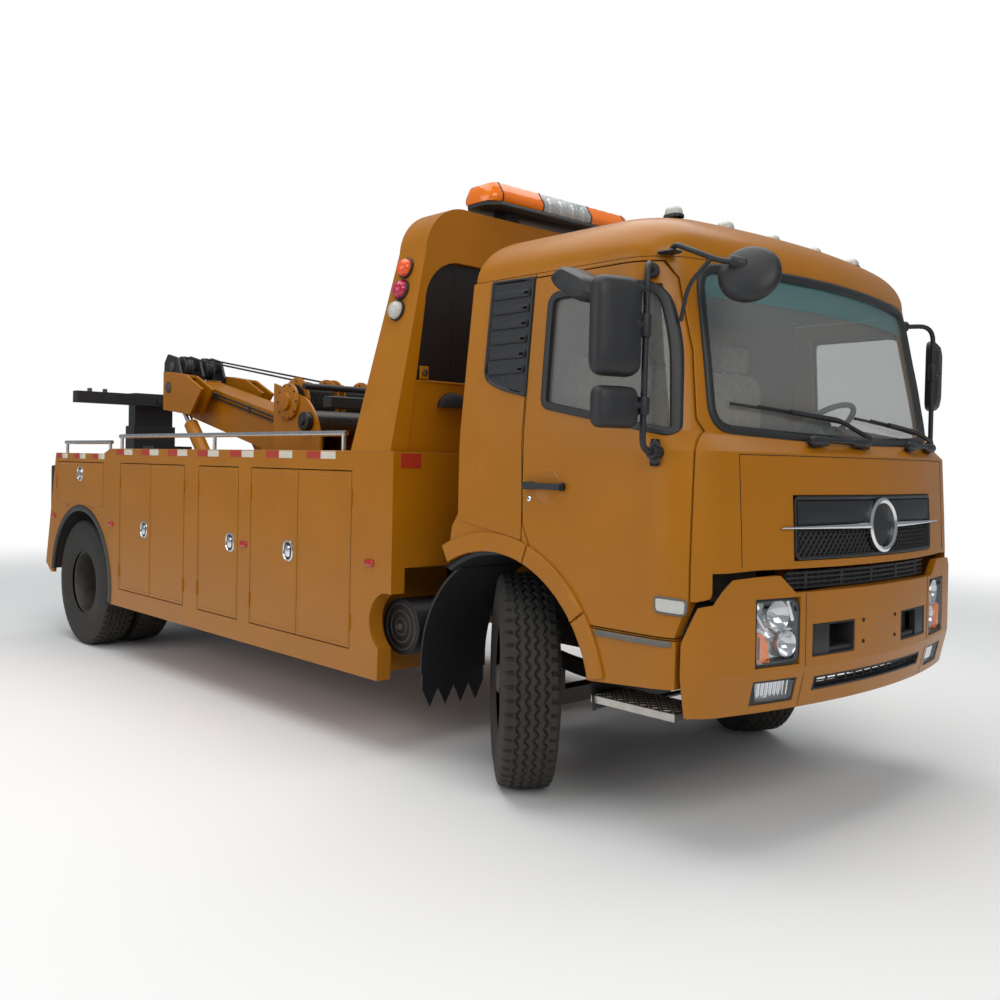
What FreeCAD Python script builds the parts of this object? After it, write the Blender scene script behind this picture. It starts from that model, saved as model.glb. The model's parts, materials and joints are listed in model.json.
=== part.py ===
"""Tow truck: cab-over chassis with locker body, light tower, recovery boom and underlift.

Millimetres. +X is forward, +Y is left, +Z is up, and z = 0 is the ground. Everything is
drawn with the front axle at x = 0; publish() then moves each sub-part forward, so that the
origin lies on the ground below the middle of the truck's length.
"""
import FreeCAD, Part
import math
import os
import re

V = FreeCAD.Vector

# ---------------------------------------------------------------- driving dimensions
SIZES = {
    # chassis
    "wheelbase": 5000, "front_overhang": 1340, "rear_overhang": 1520,
    "rail_outer_y": 430, "rail_flange": 80, "rail_web": 8, "rail_height": 250, "rail_top_z": 950,
    "rail_front_x": 1150, "crossmember_width": 80, "crossmember_height": 150,
    "pivot_x": 1232, "pivot_z": 1000, "pivot_tube_radius": 28, "pivot_arm_half": 42,
    "pin_gap": 0.3, "part_gap": 6,
    # wheels and axles
    "tyre_diameter": 1050, "tyre_width": 280, "rim_diameter": 516,
    "front_wheel_y": 935, "kingpin_y": 865, "twin_outer_y": 1095, "twin_spacing": 322,
    "steer_right": -40, "steer_left": -32,
    "beam_height": 80, "beam_half_x": 45, "boss_radius": 42, "boss_low_z": 470, "boss_high_z": 580,
    "housing_radius": 62, "differential_radius": 185, "hub_radius": 110, "stub_radius": 40,
    "spring_half_length": 700, "spring_y": 390, "spring_width": 60,
    # service body
    "body_half": 1250, "body_front_x": -710, "room_margin": 42,
    "body_top_z": 1650, "body_rear_top_z": 1610, "body_low_z": 417, "body_inner_y": 620,
    "body_wall": 30, "body_low_front_x": -820, "body_top_slope": 130,
    "locker_floor_z": 1150, "arch_radius": 625, "notch_radius": 164, "notch_x": -735, "notch_z": 735,
    "door_low_z": 557, "door_high_z": 1536, "flap_low_z": 1180, "flap_high_z": 1533,
    "deck_z": 1030, "deck_plate": 20,
    # side units, steps, mudguards
    "canister_x": -808, "canister_z": 700, "canister_radius": 154, "canister_inset": 150,
    "canister_length": 300, "guard_radius": 628, "guard_plate": 14,
    "guard_outer_y": 1100, "guard_inner_y": 640, "flap_tip_z": 285,
    "step_front_x": 1070, "step_rear_x": 625, "step_z": 600, "step_plate": 30,
    # cab
    "cab_half": 1200, "cab_corner": 240, "pillar_y": 1005, "cab_wall": 45,
    "cab_floor_z": 1280, "cab_seam_z": 2480, "cab_skirt_z": 665, "skirt_top_z": 895,
    "roof_shoulder": 330, "roof_rise": 235, "cab_arch_radius": 650, "cab_panel_z": 1180,
    "door_seam_x": 1110, "door_rear_x": 205, "glass": 8, "glass_inset": 14, "grille_depth": 30,
    "corner_panel_y": 1070, "grille_half": 640, "grille_low_z": 1212, "grille_top_z": 1490,
    # bumper
    "bumper_half": 1215, "bumper_low_z": 585, "bumper_top_z": 1080, "bumper_wall": 34,
    "bumper_ear_z": 1155, "bumper_end_x": 1095, "bumper_bow": 4000, "bumper_corner": 250,
    "bumper_back": 130, "shelf_depth": 70, "slot_grille_half": 655,
    # light tower and light bar
    "tower_front_x": -740, "tower_base_depth": 360, "tower_top_depth": 235, "tower_top_z": 3000,
    "tower_leg": 58, "tower_lean": 0.2, "tower_shoulder": 300, "tower_sill_z": 2037,
    "tower_head_z": 2700, "portal_corner": 240,
    "bar_length": 1240, "bar_depth": 270, "bar_height": 145, "bar_foot": 50, "bar_x": -800,
    # boom and underlift
    "boom_pivot_z": 1400, "boom_slope": 12.5, "boom_half": 150,
    "boom_height": 330, "boom_wall": 12, "winch_y": 340, "winch_plate": 20,
    "drum_radius": 135, "drum_z": 2035,
    "tip_half": 118, "tip_height": 250, "lift_y": 300, "barrel_radius": 62, "rod_radius": 32,
    "lift_base_z": 1260, "lift_eye_z": 2230,
    "mast_half": 200, "fold_z": 520,
    "arm_half": 220, "arm_low_z": 470, "arm_top_z": 1900,
    "crossbar_half": 840, "crossbar_size": 110, "crossbar_z": 2155,
}
# distances behind the rear axle; a negative one is ahead of it
BEHIND_AXLE = {
    "rail_rear_x": 780, "body_rear_x": 580, "body_tail_x": 800, "body_low_rear_x": -635, "body_step_x": -600,
    "flap_rear_x": 537, "flap_front_x": -467, "boom_pivot_x": -2150, "lift_base_x": -700, "lift_eye_x": 250,
    "mast_front_x": 900, "mast_rear_x": 1210, "fold_x": 1260, "arm_front_x": 1320,
}
for alias, distance in BEHIND_AXLE.items():
    SIZES[alias] = -SIZES["wheelbase"] - distance
SIZES["arm_rear_x"] = -SIZES["wheelbase"] - SIZES["rear_overhang"]
SIZES["canister_y"] = SIZES["body_half"] - SIZES["canister_inset"]

doc = FreeCAD.newDocument("tow_truck")
sheet = doc.addObject("Spreadsheet::Sheet", "sizes")
for row, (alias, value) in enumerate(SIZES.items(), start=1):
    sheet.set(f"A{row}", alias)
    sheet.set(f"B{row}", str(value))
    sheet.setAlias(f"B{row}", alias)
doc.recompute()


class Cells:
    """The sheet's numbers, for shapes that no single feature can bind."""

    def __getattr__(self, alias):
        return float(sheet.get(alias))


d = Cells()
nodes = {}


# ---------------------------------------------------------------- building helpers
def scoped(formula):
    """Point each alias in a formula at the sheet."""
    def point(match):
        word = match.group(0)
        return f"sizes.{word}" if word in SIZES else word
    return re.sub(r"[a-z_]+", point, str(formula))


def bind(item, **formulas):
    for name, formula in formulas.items():
        item.setExpression(name.replace("__", "."), scoped(formula))
    return item


def block(name, x, y, z):
    """A box between a low and a high formula on each axis."""
    box = doc.addObject("Part::Box", name)
    for size, axis, (low, high) in zip(("Length", "Width", "Height"), "xyz", (x, y, z)):
        box.setExpression(size, scoped(f"({high}) - ({low})"))
        box.setExpression(f"Placement.Base.{axis}", scoped(low))
    return box


TURN = {"x": FreeCAD.Rotation(V(0, 1, 0), 90), "y": FreeCAD.Rotation(V(1, 0, 0), -90),
        "z": FreeCAD.Rotation()}


def rod(name, axis, radius, at, span):
    """A cylinder along an axis: its two other coordinates, and a low and a high formula."""
    pin = doc.addObject("Part::Cylinder", name)
    pin.Placement = FreeCAD.Placement(V(), TURN[axis])
    others = [letter for letter in "xyz" if letter != axis]
    bind(pin, Radius=radius, Height=f"({span[1]}) - ({span[0]})")
    pin.setExpression(f"Placement.Base.{axis}", scoped(span[0]))
    for letter, formula in zip(others, at):
        pin.setExpression(f"Placement.Base.{letter}", scoped(formula))
    return pin


PLANE = {"xy": FreeCAD.Rotation(), "xz": FreeCAD.Rotation(V(1, 0, 0), 90),
         "yz": FreeCAD.Rotation(V(1, 1, 1), 120)}
NORMAL = {"xy": ("z", V(0, 0, 1)), "xz": ("y", V(0, 1, 0)), "yz": ("x", V(1, 0, 0))}


def outline_edges(points):
    """Lines between points; ("arc", middle, end) is an arc through its middle."""
    ends = [p[2] if p[0] == "arc" else p for p in points]
    edges = []
    for index, point in enumerate(points):
        start = V(*ends[index - 1], 0)
        end = V(*ends[index], 0)
        if point[0] == "arc":
            edges.append(Part.Arc(start, V(*point[1], 0), end))
        elif start.distanceToPoint(end) > 1e-6:
            edges.append(Part.LineSegment(start, end))
    return edges


def pad(name, plane, points, low, high):
    """A sketched outline in a plane, extruded between two formulas."""
    sketch = doc.addObject("Sketcher::SketchObject", name + "_outline")
    sketch.Placement = FreeCAD.Placement(V(), PLANE[plane])
    sketch.addGeometry(outline_edges(points), False)
    axis, direction = NORMAL[plane]
    sketch.setExpression(f"Placement.Base.{axis}", scoped(low))
    solid = doc.addObject("Part::Extrusion", name)
    solid.Base = sketch
    solid.DirMode = "Custom"
    solid.Dir = direction
    solid.Solid = True
    return bind(solid, LengthFwd=f"({high}) - ({low})")


def fuse(name, *parts):
    joined = doc.addObject("Part::MultiFuse", name)
    joined.Shapes = list(parts)
    return joined


def cut(name, base, *tools):
    tool = tools[0] if len(tools) == 1 else fuse(name + "_tools", *tools)
    result = doc.addObject("Part::Cut", name)
    result.Base = base
    result.Tool = tool
    return result


def common(name, base, tool):
    result = doc.addObject("Part::Common", name)
    result.Base = base
    result.Tool = tool
    return result


def group(name, *parts):
    """Solids that don't touch, kept in one sub-part."""
    both = doc.addObject("Part::Compound", name)
    both.Links = list(parts)
    return both


def mirror(name, source):
    """The same piece on the other side of the truck."""
    other = doc.addObject("Part::Mirroring", name)
    other.Source = source
    other.Base = V(0, 0, 0)
    other.Normal = V(0, 1, 0)
    return other


def pair(name, source):
    return group(name, source, mirror(name + "_other", source))


def shaped(name, shape):
    piece = doc.addObject("Part::Feature", name)
    piece.Shape = shape
    return piece


FRONT_AXLE_X = "(wheelbase + rear_overhang - front_overhang) / 2"


def publish(label, piece):
    """Name a sub-part and move it into the truck's frame."""
    piece.setExpression("Placement.Base.x", scoped(FRONT_AXLE_X))
    piece.Label = label
    nodes[label] = piece


def publish_both(label, piece):
    """The left piece and its mirror image on the right."""
    other = mirror(label + "_right_copy", piece)
    publish(label + "_left", group(label + "_left_piece", piece))
    publish(label + "_right", other)


def place(label, piece, x, y, z, turn):
    """Seat a sub-part drawn about its own centre, with a turn about the vertical."""
    piece.Placement = FreeCAD.Placement(V(), FreeCAD.Rotation(V(0, 0, 1), turn))
    bind(piece, Placement__Base__x=f"{FRONT_AXLE_X} + {x}", Placement__Base__y=y,
         Placement__Base__z=z)
    piece.Label = label
    nodes[label] = piece


# ---------------------------------------------------------------- chassis
def channel(name):
    """One frame rail: a channel that opens inwards."""
    inner_y = "rail_outer_y - rail_flange"
    outer = block(name + "_outer", ("rail_rear_x", "rail_front_x"), (inner_y, "rail_outer_y"),
                  ("rail_top_z - rail_height", "rail_top_z"))
    hollow = block(name + "_hollow", ("rail_rear_x - 1", "rail_front_x + 1"),
                   (inner_y + " - 1", "rail_outer_y - rail_web"),
                   ("rail_top_z - rail_height + rail_web", "rail_top_z - rail_web"))
    return cut(name, outer, hollow)


def build_chassis():
    """Two rails with their arms, crossmembers, outriggers, the cab's pivot tube and the cab steps."""
    rail = channel("rail")
    web_inner = "rail_outer_y - rail_web - pin_gap"
    members = []
    for index, share in enumerate((0.02, 0.3, 0.5, 0.66, 0.82, 0.99)):
        x = f"rail_front_x - {share} * (rail_front_x - rail_rear_x)"
        members.append(block(
            f"crossmember_{index}", (f"{x} - crossmember_width / 2", f"{x} + crossmember_width / 2"),
            (f"-({web_inner})", web_inner),
            ("rail_top_z - rail_height + 50", "rail_top_z - rail_height + 50 + crossmember_height")))
    pivot_arm = block("pivot_arm", ("rail_front_x - 160", "pivot_x"), ("rail_outer_y - 60", "rail_outer_y"),
                      ("pivot_z - pivot_arm_half - 60", "pivot_z + pivot_arm_half"))
    pivot_end = rod("pivot_arm_end", "y", "pivot_arm_half", ("pivot_x", "pivot_z"),
                    ("rail_outer_y - 60", "rail_outer_y"))
    bracket = block("bumper_bracket", ("rail_front_x - 120", "front_overhang - bumper_back - pin_gap"),
                    ("rail_outer_y - 80", "rail_outer_y - 20"), ("bumper_low_z + 130", "rail_top_z - 90"))
    outriggers = []
    for index, x in enumerate(("body_front_x - 500", "body_front_x - 1500", "body_front_x - 2600",
                               "body_front_x - 3500", "body_tail_x + 260")):
        outriggers.append(block(f"outrigger_{index}", (x, f"{x} + 70"),
                                ("rail_outer_y + pin_gap", "body_inner_y"), ("rail_top_z - 90", "rail_top_z")))
    steps = []
    low_z = "step_z - step_plate - 10"
    for index, share in enumerate((0.25, 0.75)):
        x = f"step_rear_x + {share} * (step_front_x - step_rear_x)"
        span = (f"{x} - 20", f"{x} + 20")
        steps.append(block(f"step_hanger_{index}", span, ("rail_outer_y + pin_gap", "rail_outer_y + 24"),
                           (low_z, "rail_top_z - 30")))
        steps.append(block(f"step_bracket_{index}", span, ("rail_outer_y + pin_gap", "cab_half - 60"),
                           (low_z, "step_z - step_plate")))
    steps.append(block("step", ("step_rear_x", "step_front_x"), ("cab_half - 270", "cab_half - 30"),
                       ("step_z - step_plate", "step_z")))
    side = group("chassis_side", fuse("rail_and_arms", rail, pivot_arm, pivot_end, bracket),
                 fuse("step_set", *steps), *outriggers)
    tube = rod("pivot_tube", "y", "pivot_tube_radius", ("pivot_x", "pivot_z"),
               ("-(rail_outer_y - 60 - pin_gap)", "rail_outer_y - 60 - pin_gap"))
    publish("chassis_frame", group("chassis", side, mirror("chassis_other_side", side), tube, *members))


def leaf_spring(name, axle_x, low_z, high_z, end_z):
    """A leaf pack: thick over the axle and thin at its ends."""
    half = d.spring_half_length
    outline = [(axle_x + half, end_z), ("arc", (axle_x, high_z), (axle_x - half, end_z)),
               (axle_x - half, end_z - 25), ("arc", (axle_x, low_z), (axle_x + half, end_z - 25))]
    leaf = pad(name + "_leaf", "xz", outline, "spring_y - spring_width / 2",
               "spring_y + spring_width / 2")
    ends = [block(f"{name}_shackle_{side}", (f"{axle_x} + {side} * spring_half_length - 25",
                                             f"{axle_x} + {side} * spring_half_length + 25"),
                  ("spring_y - spring_width / 2", "spring_y + spring_width / 2"),
                  (str(end_z - 30), "rail_top_z - rail_height - pin_gap")) for side in (-1, 1)]
    return fuse(name, leaf, *ends)


def build_axles():
    wheel_z = d.tyre_diameter / 2
    beam_top = "tyre_diameter / 2 - 65"
    beam = block("beam", ("-beam_half_x", "beam_half_x"), ("-(kingpin_y - 90)", "kingpin_y - 90"),
                 (f"{beam_top} - beam_height", beam_top))
    end = block("beam_end", ("-beam_half_x", "beam_half_x"), ("kingpin_y - 160", "kingpin_y - 10"),
                (f"{beam_top} - beam_height", "boss_high_z - 20"))
    boss = rod("beam_boss", "z", "boss_radius", ("0", "kingpin_y"), ("boss_low_z", "boss_high_z"))
    room = block("knuckle_room", ("-100", "100"), ("kingpin_y - 60", "kingpin_y + 60"),
                 ("boss_low_z - 200", "boss_low_z"))
    hole = rod("kingpin_hole", "z", "20 + pin_gap", ("0", "kingpin_y"), ("300", "700"))
    ends = cut("beam_side", fuse("beam_side_full", end, boss), room, hole)
    spring = leaf_spring("front_spring", 0, wheel_z - 65, wheel_z + 15, d.rail_top_z - d.rail_height - 10)
    publish("front_axle", fuse("front_axle_piece", beam, ends, mirror("beam_side_other", ends), spring,
                               mirror("front_spring_other", spring)))

    rear_x = "-wheelbase"
    housing = rod("housing", "y", "housing_radius", (rear_x, "tyre_diameter / 2"),
                  ("-(twin_outer_y - twin_spacing - tyre_width / 2 + 20)",
                   "twin_outer_y - twin_spacing - tyre_width / 2 + 20"))
    stubs = rod("stubs", "y", "stub_radius", (rear_x, "tyre_diameter / 2"),
                ("-(twin_outer_y - twin_spacing / 2 - 50)", "twin_outer_y - twin_spacing / 2 - 50"))
    bulge = bind(doc.addObject("Part::Sphere", "differential"), Radius="differential_radius",
                 Placement__Base__x=rear_x, Placement__Base__z="tyre_diameter / 2")
    shaft = block("driveshaft", ("-wheelbase + 150", "-wheelbase + 2700"), ("-45", "45"),
                  ("tyre_diameter / 2 + 80", "tyre_diameter / 2 + 170"))
    carrier = block("shaft_carrier", ("-wheelbase + 2600", "-wheelbase + 2680"), ("-60", "60"),
                    ("tyre_diameter / 2 + 80", "rail_top_z - rail_height + 49"))
    seat_z = wheel_z + d.housing_radius + d.pin_gap
    rear_spring = leaf_spring("rear_spring", -d.wheelbase, seat_z, seat_z + 80,
                              d.rail_top_z - d.rail_height - 10)
    beam_set = fuse("rear_beam", housing, stubs, bulge, shaft, carrier)
    publish("rear_axle", group("rear_axle_piece", beam_set, rear_spring,
                               mirror("rear_spring_other", rear_spring)))


def build_knuckle(side, turn):
    """The steered knuckle, drawn about its kingpin, for side = 1 (left) or -1 (right)."""
    lugs = [rod(f"knuckle_lug_{side}_{low}", "z", "boss_radius", ("0", "0"), (low, high))
            for low, high in (("boss_low_z - 42", "boss_low_z - 2"), ("boss_high_z + 2", "boss_high_z + 42"))]
    pin = rod(f"kingpin_{side}", "z", "20", ("0", "0"), ("boss_low_z - 42", "boss_high_z + 42"))
    low_y, high_y = ("46", "74") if side > 0 else ("-74", "-46")
    plate = block(f"knuckle_plate_{side}", ("-55", "55"), (low_y, high_y),
                  ("boss_low_z - 42", "boss_high_z + 42"))
    webs = [block(f"knuckle_web_{side}_{low}", ("-42", "42"), ("0", "60") if side > 0 else ("-60", "0"),
                  (low, high))
            for low, high in (("boss_low_z - 42", "boss_low_z - 2"), ("boss_high_z + 2", "boss_high_z + 42"))]
    reach = "front_wheel_y - kingpin_y + 20"
    spindle = rod(f"spindle_{side}", "y", "stub_radius", ("0", "tyre_diameter / 2"),
                  ("60", reach) if side > 0 else (f"-({reach})", "-60"))
    knuckle = fuse(f"knuckle_{side}", *lugs, pin, plate, *webs, spindle)
    name = "left" if side > 0 else "right"
    place(f"knuckle_{name}", knuckle, "0", f"{side} * kingpin_y", "0", turn)


# ---------------------------------------------------------------- wheels
def revolved(points):
    """A body of revolution about a wheel's axis; points are (radius, offset along the axis)."""
    face = Part.Face(Part.Wire([edge.toShape() for edge in outline_edges(points)]))
    return face.revolve(V(0, 0, 0), V(0, 1, 0), 360)


def tyre_ring():
    """Tyre section: bead, bulging sidewall, shoulder groove and crown with lug blocks."""
    outer = d.tyre_diameter / 2
    half = d.tyre_width / 2
    bead = d.rim_diameter / 2
    tread = half - 18
    section = [(bead, -half + 45), ("arc", (bead + (outer - bead) * 0.45, -half), (outer - 26, -tread)),
               (outer - 6, -tread + 14), ("arc", (outer, 0), (outer - 6, tread - 14)), (outer - 26, tread),
               ("arc", (bead + (outer - bead) * 0.45, half), (bead, half - 45)), (bead, -half + 45)]
    return revolved(section)


def rim_disc(outset):
    """A steel disc rim: barrel, dished disc, hub and hand holes; outset moves the disc outwards."""
    bead = d.rim_diameter / 2 - d.pin_gap
    half = d.tyre_width / 2 - 50
    barrel = Part.makeCylinder(bead, 2 * half, V(0, -half, 0), V(0, 1, 0))
    barrel = barrel.cut(Part.makeCylinder(bead - 10, 2 * half, V(0, -half, 0), V(0, 1, 0)))
    disc = Part.makeCylinder(bead - 5, 14, V(0, outset - 14, 0), V(0, 1, 0))
    for index in range(8):
        angle = math.radians(45 * index)
        centre = V(0.66 * bead * math.cos(angle), outset - 20, 0.66 * bead * math.sin(angle))
        disc = disc.cut(Part.makeCylinder(32, 30, centre, V(0, 1, 0)))
    return barrel.fuse(disc)


def hub(inner_y, outer_y, bore_to):
    """The hub between two stations on the axle, bored for its stub up to bore_to."""
    low, high = sorted((inner_y, outer_y))
    body = Part.makeCylinder(d.hub_radius, high - low, V(0, low, 0), V(0, 1, 0))
    start, end = sorted((inner_y, bore_to))
    return body.cut(Part.makeCylinder(d.stub_radius + d.pin_gap, end - start, V(0, start, 0), V(0, 1, 0)))


def build_wheels():
    axle_z = "tyre_diameter / 2"
    reach = d.front_wheel_y - d.kingpin_y
    for name, side, turn in (("right", -1, d.steer_right), ("left", 1, d.steer_left)):
        build_knuckle(side, turn)
        tyre = tyre_ring()
        tyre.translate(V(0, side * reach, 0))
        place(f"front_tyre_{name}", shaped(f"front_tyre_{name}_piece", Part.makeCompound([tyre])), "0",
              f"{side} * kingpin_y", axle_z, turn)
        rim = rim_disc(side * 66)
        rim.translate(V(0, side * reach, 0))
        rim = rim.fuse(hub(side * 80, side * (reach + 80), side * (reach + 25)))
        place(f"front_rim_{name}", shaped(f"front_rim_{name}_piece", rim), "0",
              f"{side} * kingpin_y", axle_z, turn)
        outer_y = side * d.twin_outer_y
        inner_y = side * (d.twin_outer_y - d.twin_spacing)
        tyres = []
        rims = []
        for centre in (inner_y, outer_y):
            ring = tyre_ring()
            ring.translate(V(0, centre, 0))
            tyres.append(ring)
        middle = (inner_y + outer_y) / 2
        for centre in (inner_y, outer_y):
            outset = (middle - centre) * 0.94 + 7
            disc = rim_disc(outset)
            disc.translate(V(0, centre, 0))
            rims.append(disc)
        axle_end = side * (d.twin_outer_y - d.twin_spacing / 2 - 45)
        start = side * (d.twin_outer_y - d.twin_spacing - d.tyre_width / 2 + 26)
        rims.append(hub(start, middle + side * 95, axle_end))
        tube = Part.makeCylinder(d.rim_diameter / 2 - 6, d.twin_spacing - d.tyre_width + 100,
                                 V(0, middle - (d.twin_spacing - d.tyre_width + 100) / 2, 0), V(0, 1, 0))
        tube = tube.cut(Part.makeCylinder(d.rim_diameter / 2 - 14, 400, V(0, middle - 200, 0), V(0, 1, 0)))
        joined = rims[0].multiFuse(rims[1:] + [tube])
        place(f"rear_tyres_{name}", shaped(f"rear_tyres_{name}_piece", Part.makeCompound(tyres)),
              "-wheelbase", "0", axle_z, 0)
        place(f"rear_rims_{name}", shaped(f"rear_rims_{name}_piece", joined), "-wheelbase", "0", axle_z, 0)


# ---------------------------------------------------------------- engine and side units
def build_engine():
    mounts = [block(f"engine_mount_{index}", (x, f"{x} + 60"), ("-(rail_outer_y - rail_flange - pin_gap)",
                                                              "rail_outer_y - rail_flange - pin_gap"),
                    ("rail_top_z - 45", "rail_top_z - 5")) for index, x in enumerate(("-480", "330"))]
    body = block("engine_body", ("-600", "500"), ("-290", "290"),
                 ("tyre_diameter / 2 + 60", "cab_floor_z - 45"))
    publish("engine", fuse("engine_piece", body, *mounts))


def build_side_units():
    """Air canister on the right, battery box on the left, each on a bracket from its rail."""
    can = rod("canister", "y", "canister_radius", ("canister_x", "canister_z"),
              ("-canister_y", "-(canister_y - canister_length)"))
    can_arm = block("canister_arm", ("canister_x - 60", "canister_x + 60"),
                    ("-(canister_y - canister_length)", "-(rail_outer_y + pin_gap)"),
                    ("canister_z + 40", "canister_z + 100"))
    battery = block("battery_box", ("canister_x - 150", "canister_x + 150"),
                    ("canister_y - 320", "canister_y - 10"), ("canister_z - 140", "canister_z + 150"))
    battery_arm = block("battery_arm", ("canister_x - 60", "canister_x + 60"),
                        ("rail_outer_y + pin_gap", "canister_y - 320"),
                        ("canister_z + 40", "canister_z + 100"))
    publish("side_units", group("side_units_piece", fuse("canister_set", can, can_arm),
                                fuse("battery_set", battery, battery_arm)))


def build_mudguards():
    """Rear half of each front wheel's mudguard, with a flap cut to teeth at its lower edge."""
    wheel_z = d.tyre_diameter / 2
    outer = d.guard_radius + d.guard_plate
    start = math.radians(121)
    middle = math.radians(150)

    def on(radius, angle):
        return (radius * math.cos(angle), wheel_z + radius * math.sin(angle))

    inner = d.guard_radius
    arch = [on(outer, start), ("arc", on(outer, middle), (-outer, wheel_z)), (-outer, wheel_z - 60),
            (-inner, wheel_z - 60), (-inner, wheel_z), ("arc", on(inner, middle), on(inner, start)),
            on(outer, start)]
    shell = pad("guard_arch", "xz", arch, "guard_inner_y", "guard_outer_y")
    teeth = 4
    pitch = (d.guard_outer_y - d.guard_inner_y - 20) / teeth
    low_y = d.guard_inner_y + 10
    saw = [(low_y, wheel_z - 40)]
    for index in range(teeth):
        saw.append((low_y + index * pitch, d.flap_tip_z + 100))
        saw.append((low_y + (index + 0.5) * pitch, d.flap_tip_z))
    saw += [(low_y + teeth * pitch, d.flap_tip_z + 100), (low_y + teeth * pitch, wheel_z - 40), saw[0]]
    flap = pad("guard_flap", "yz", saw, "-guard_radius - 12", "-guard_radius - 2")
    arm = block("guard_arm", ("-guard_radius - 12", "-guard_radius + 30"),
                ("rail_outer_y + pin_gap", "guard_inner_y + 20"), ("rail_top_z - 200", "rail_top_z - 160"))
    join = block("guard_join", ("-guard_radius - 12", "-guard_radius + 78"),
                 ("guard_inner_y - 20", "guard_inner_y + 20"), ("rail_top_z - 200", "rail_top_z - 160"))
    side = fuse("guard", shell, flap, arm, join)
    publish("mudguards", pair("mudguards_piece", side))


# ---------------------------------------------------------------- service body
# locker openings, as shares of the run from the wheel arch to the front: doors behind each, rear, front
LOCKERS = (("ab", 0.0471, 0.3557), ("c", 0.4161, 0.5698), ("de", 0.6164, 0.9261))


def locker_run(rear_share, front_share):
    """Rear and front x of one locker opening."""
    run = d.body_low_front_x - d.body_low_rear_x
    return d.body_low_rear_x + rear_share * run, d.body_low_rear_x + front_share * run


def body_outline():
    """Side view of the locker body: wheel arch, notch for the canister, sloping tail."""
    wheel_z = d.tyre_diameter / 2
    radius = d.arch_radius
    rear_x = -d.wheelbase
    low = d.body_low_z
    arch_front = rear_x + math.sqrt(radius ** 2 - (wheel_z - low) ** 2)
    arch_rear = rear_x - math.sqrt(radius ** 2 - 30 ** 2)
    notch = d.notch_radius
    top_x = d.notch_x - 0.25 * notch
    low_x = d.notch_x - 0.5 * notch
    return [
        (d.body_front_x, d.notch_z + notch * 0.97), (d.body_front_x, d.body_top_z),
        (d.body_step_x, d.body_top_z), (d.body_step_x - d.body_top_slope, d.body_rear_top_z),
        (d.body_rear_x, d.body_rear_top_z), (d.body_tail_x, wheel_z + 105), (d.body_tail_x + 125, wheel_z + 30),
        (arch_rear, wheel_z + 30),
        ("arc", (rear_x, wheel_z + radius), (arch_front, low)), (d.body_low_front_x, low),
        (low_x, d.notch_z - notch * 0.87), ("arc", (d.notch_x - notch, d.notch_z),
                                            (top_x, d.notch_z + notch * 0.97)),
        (d.body_front_x, d.notch_z + notch * 0.97)]


def build_locker_body():
    """One side's lockers: a box with rooms behind its door openings, open over the wheels."""
    solid = pad("locker_solid", "xz", body_outline(), "body_inner_y", "body_half")
    room_y = ("body_inner_y + body_wall", "body_half - body_wall")
    skin_y = ("body_half - body_wall - 1", "body_half + 1")
    cuts = []
    for name, rear_share, front_share in LOCKERS:
        rear, front = locker_run(rear_share, front_share)
        cuts.append(block(f"room_{name}", (f"{rear} - room_margin", f"{front} + room_margin"), room_y,
                          ("door_low_z - 40", "door_high_z + 40")))
        # a door hinged at its rear edge alone has its running gap at the front
        free_gap = "part_gap" if len(name) == 1 else "pin_gap"
        cuts.append(block(f"opening_{name}", (f"{rear} - pin_gap", f"{front} + {free_gap}"), skin_y,
                          ("door_low_z - part_gap", "door_high_z + part_gap")))
    cuts.append(block("room_flap", ("flap_rear_x - 15", "flap_front_x + 30"), room_y,
                      ("flap_low_z - pin_gap", "flap_high_z + 30")))
    cuts.append(block("opening_flap", ("flap_rear_x - part_gap", "flap_front_x + part_gap"), skin_y,
                      ("flap_low_z - pin_gap", "flap_high_z + part_gap")))
    # wheel space behind the skin, and room for the canister and the cab's guards in front
    cuts.append(block("wheel_space", ("body_tail_x - 10", "body_low_rear_x + 60"),
                      ("body_inner_y - 1", "body_half - body_wall"), ("0", "locker_floor_z")))
    cuts.append(block("canister_space", ("canister_x - canister_radius - 30", "body_front_x + 10"),
                      ("body_inner_y - 1", "canister_y + 60"), ("0", "locker_floor_z - 120")))
    publish_both("locker_body", cut("locker_left", solid, *cuts))


def build_locker_doors():
    """Leaves as thick as the wall; each hinges about its outer edge at the body's face."""
    leaf_y = ("body_half - body_wall", "body_half")
    for names, rear_share, front_share in LOCKERS:
        rear, front = locker_run(rear_share, front_share)
        middle = (rear + front) / 2
        edges = [(rear, front)]
        if len(names) == 2:
            edges = [(rear, middle - d.part_gap / 2), (middle + d.part_gap / 2, front)]
        for name, span in zip(names, edges):
            leaf = block(f"leaf_{name}", span, leaf_y, ("door_low_z", "door_high_z"))
            publish_both(f"locker_door_{name}", leaf)
    publish_both("locker_flap", block("leaf_flap", ("flap_rear_x", "flap_front_x"), leaf_y,
                                      ("flap_low_z", "flap_high_z")))


def build_deck():
    """Floor between the lockers, its front wall and its rear sill."""
    floor = block("deck_floor", ("body_tail_x + 60", "body_front_x"),
                  ("-(body_inner_y - pin_gap)", "body_inner_y - pin_gap"), ("deck_z - deck_plate", "deck_z"))
    sleepers = [block(f"deck_sleeper_{index}", ("body_tail_x + 60", "body_front_x - 40"), span,
                      ("rail_top_z + pin_gap", "deck_z - deck_plate"))
                for index, span in enumerate((("rail_outer_y - 75", "rail_outer_y - 5"),
                                              ("-(rail_outer_y - 5)", "-(rail_outer_y - 75)")))]
    wall = block("deck_front_wall", ("body_front_x - body_wall", "body_front_x"),
                 ("-(body_inner_y - pin_gap)", "body_inner_y - pin_gap"), ("rail_top_z + 10", "body_top_z"))
    publish("deck", fuse("deck_piece", floor, wall, *sleepers))


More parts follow.
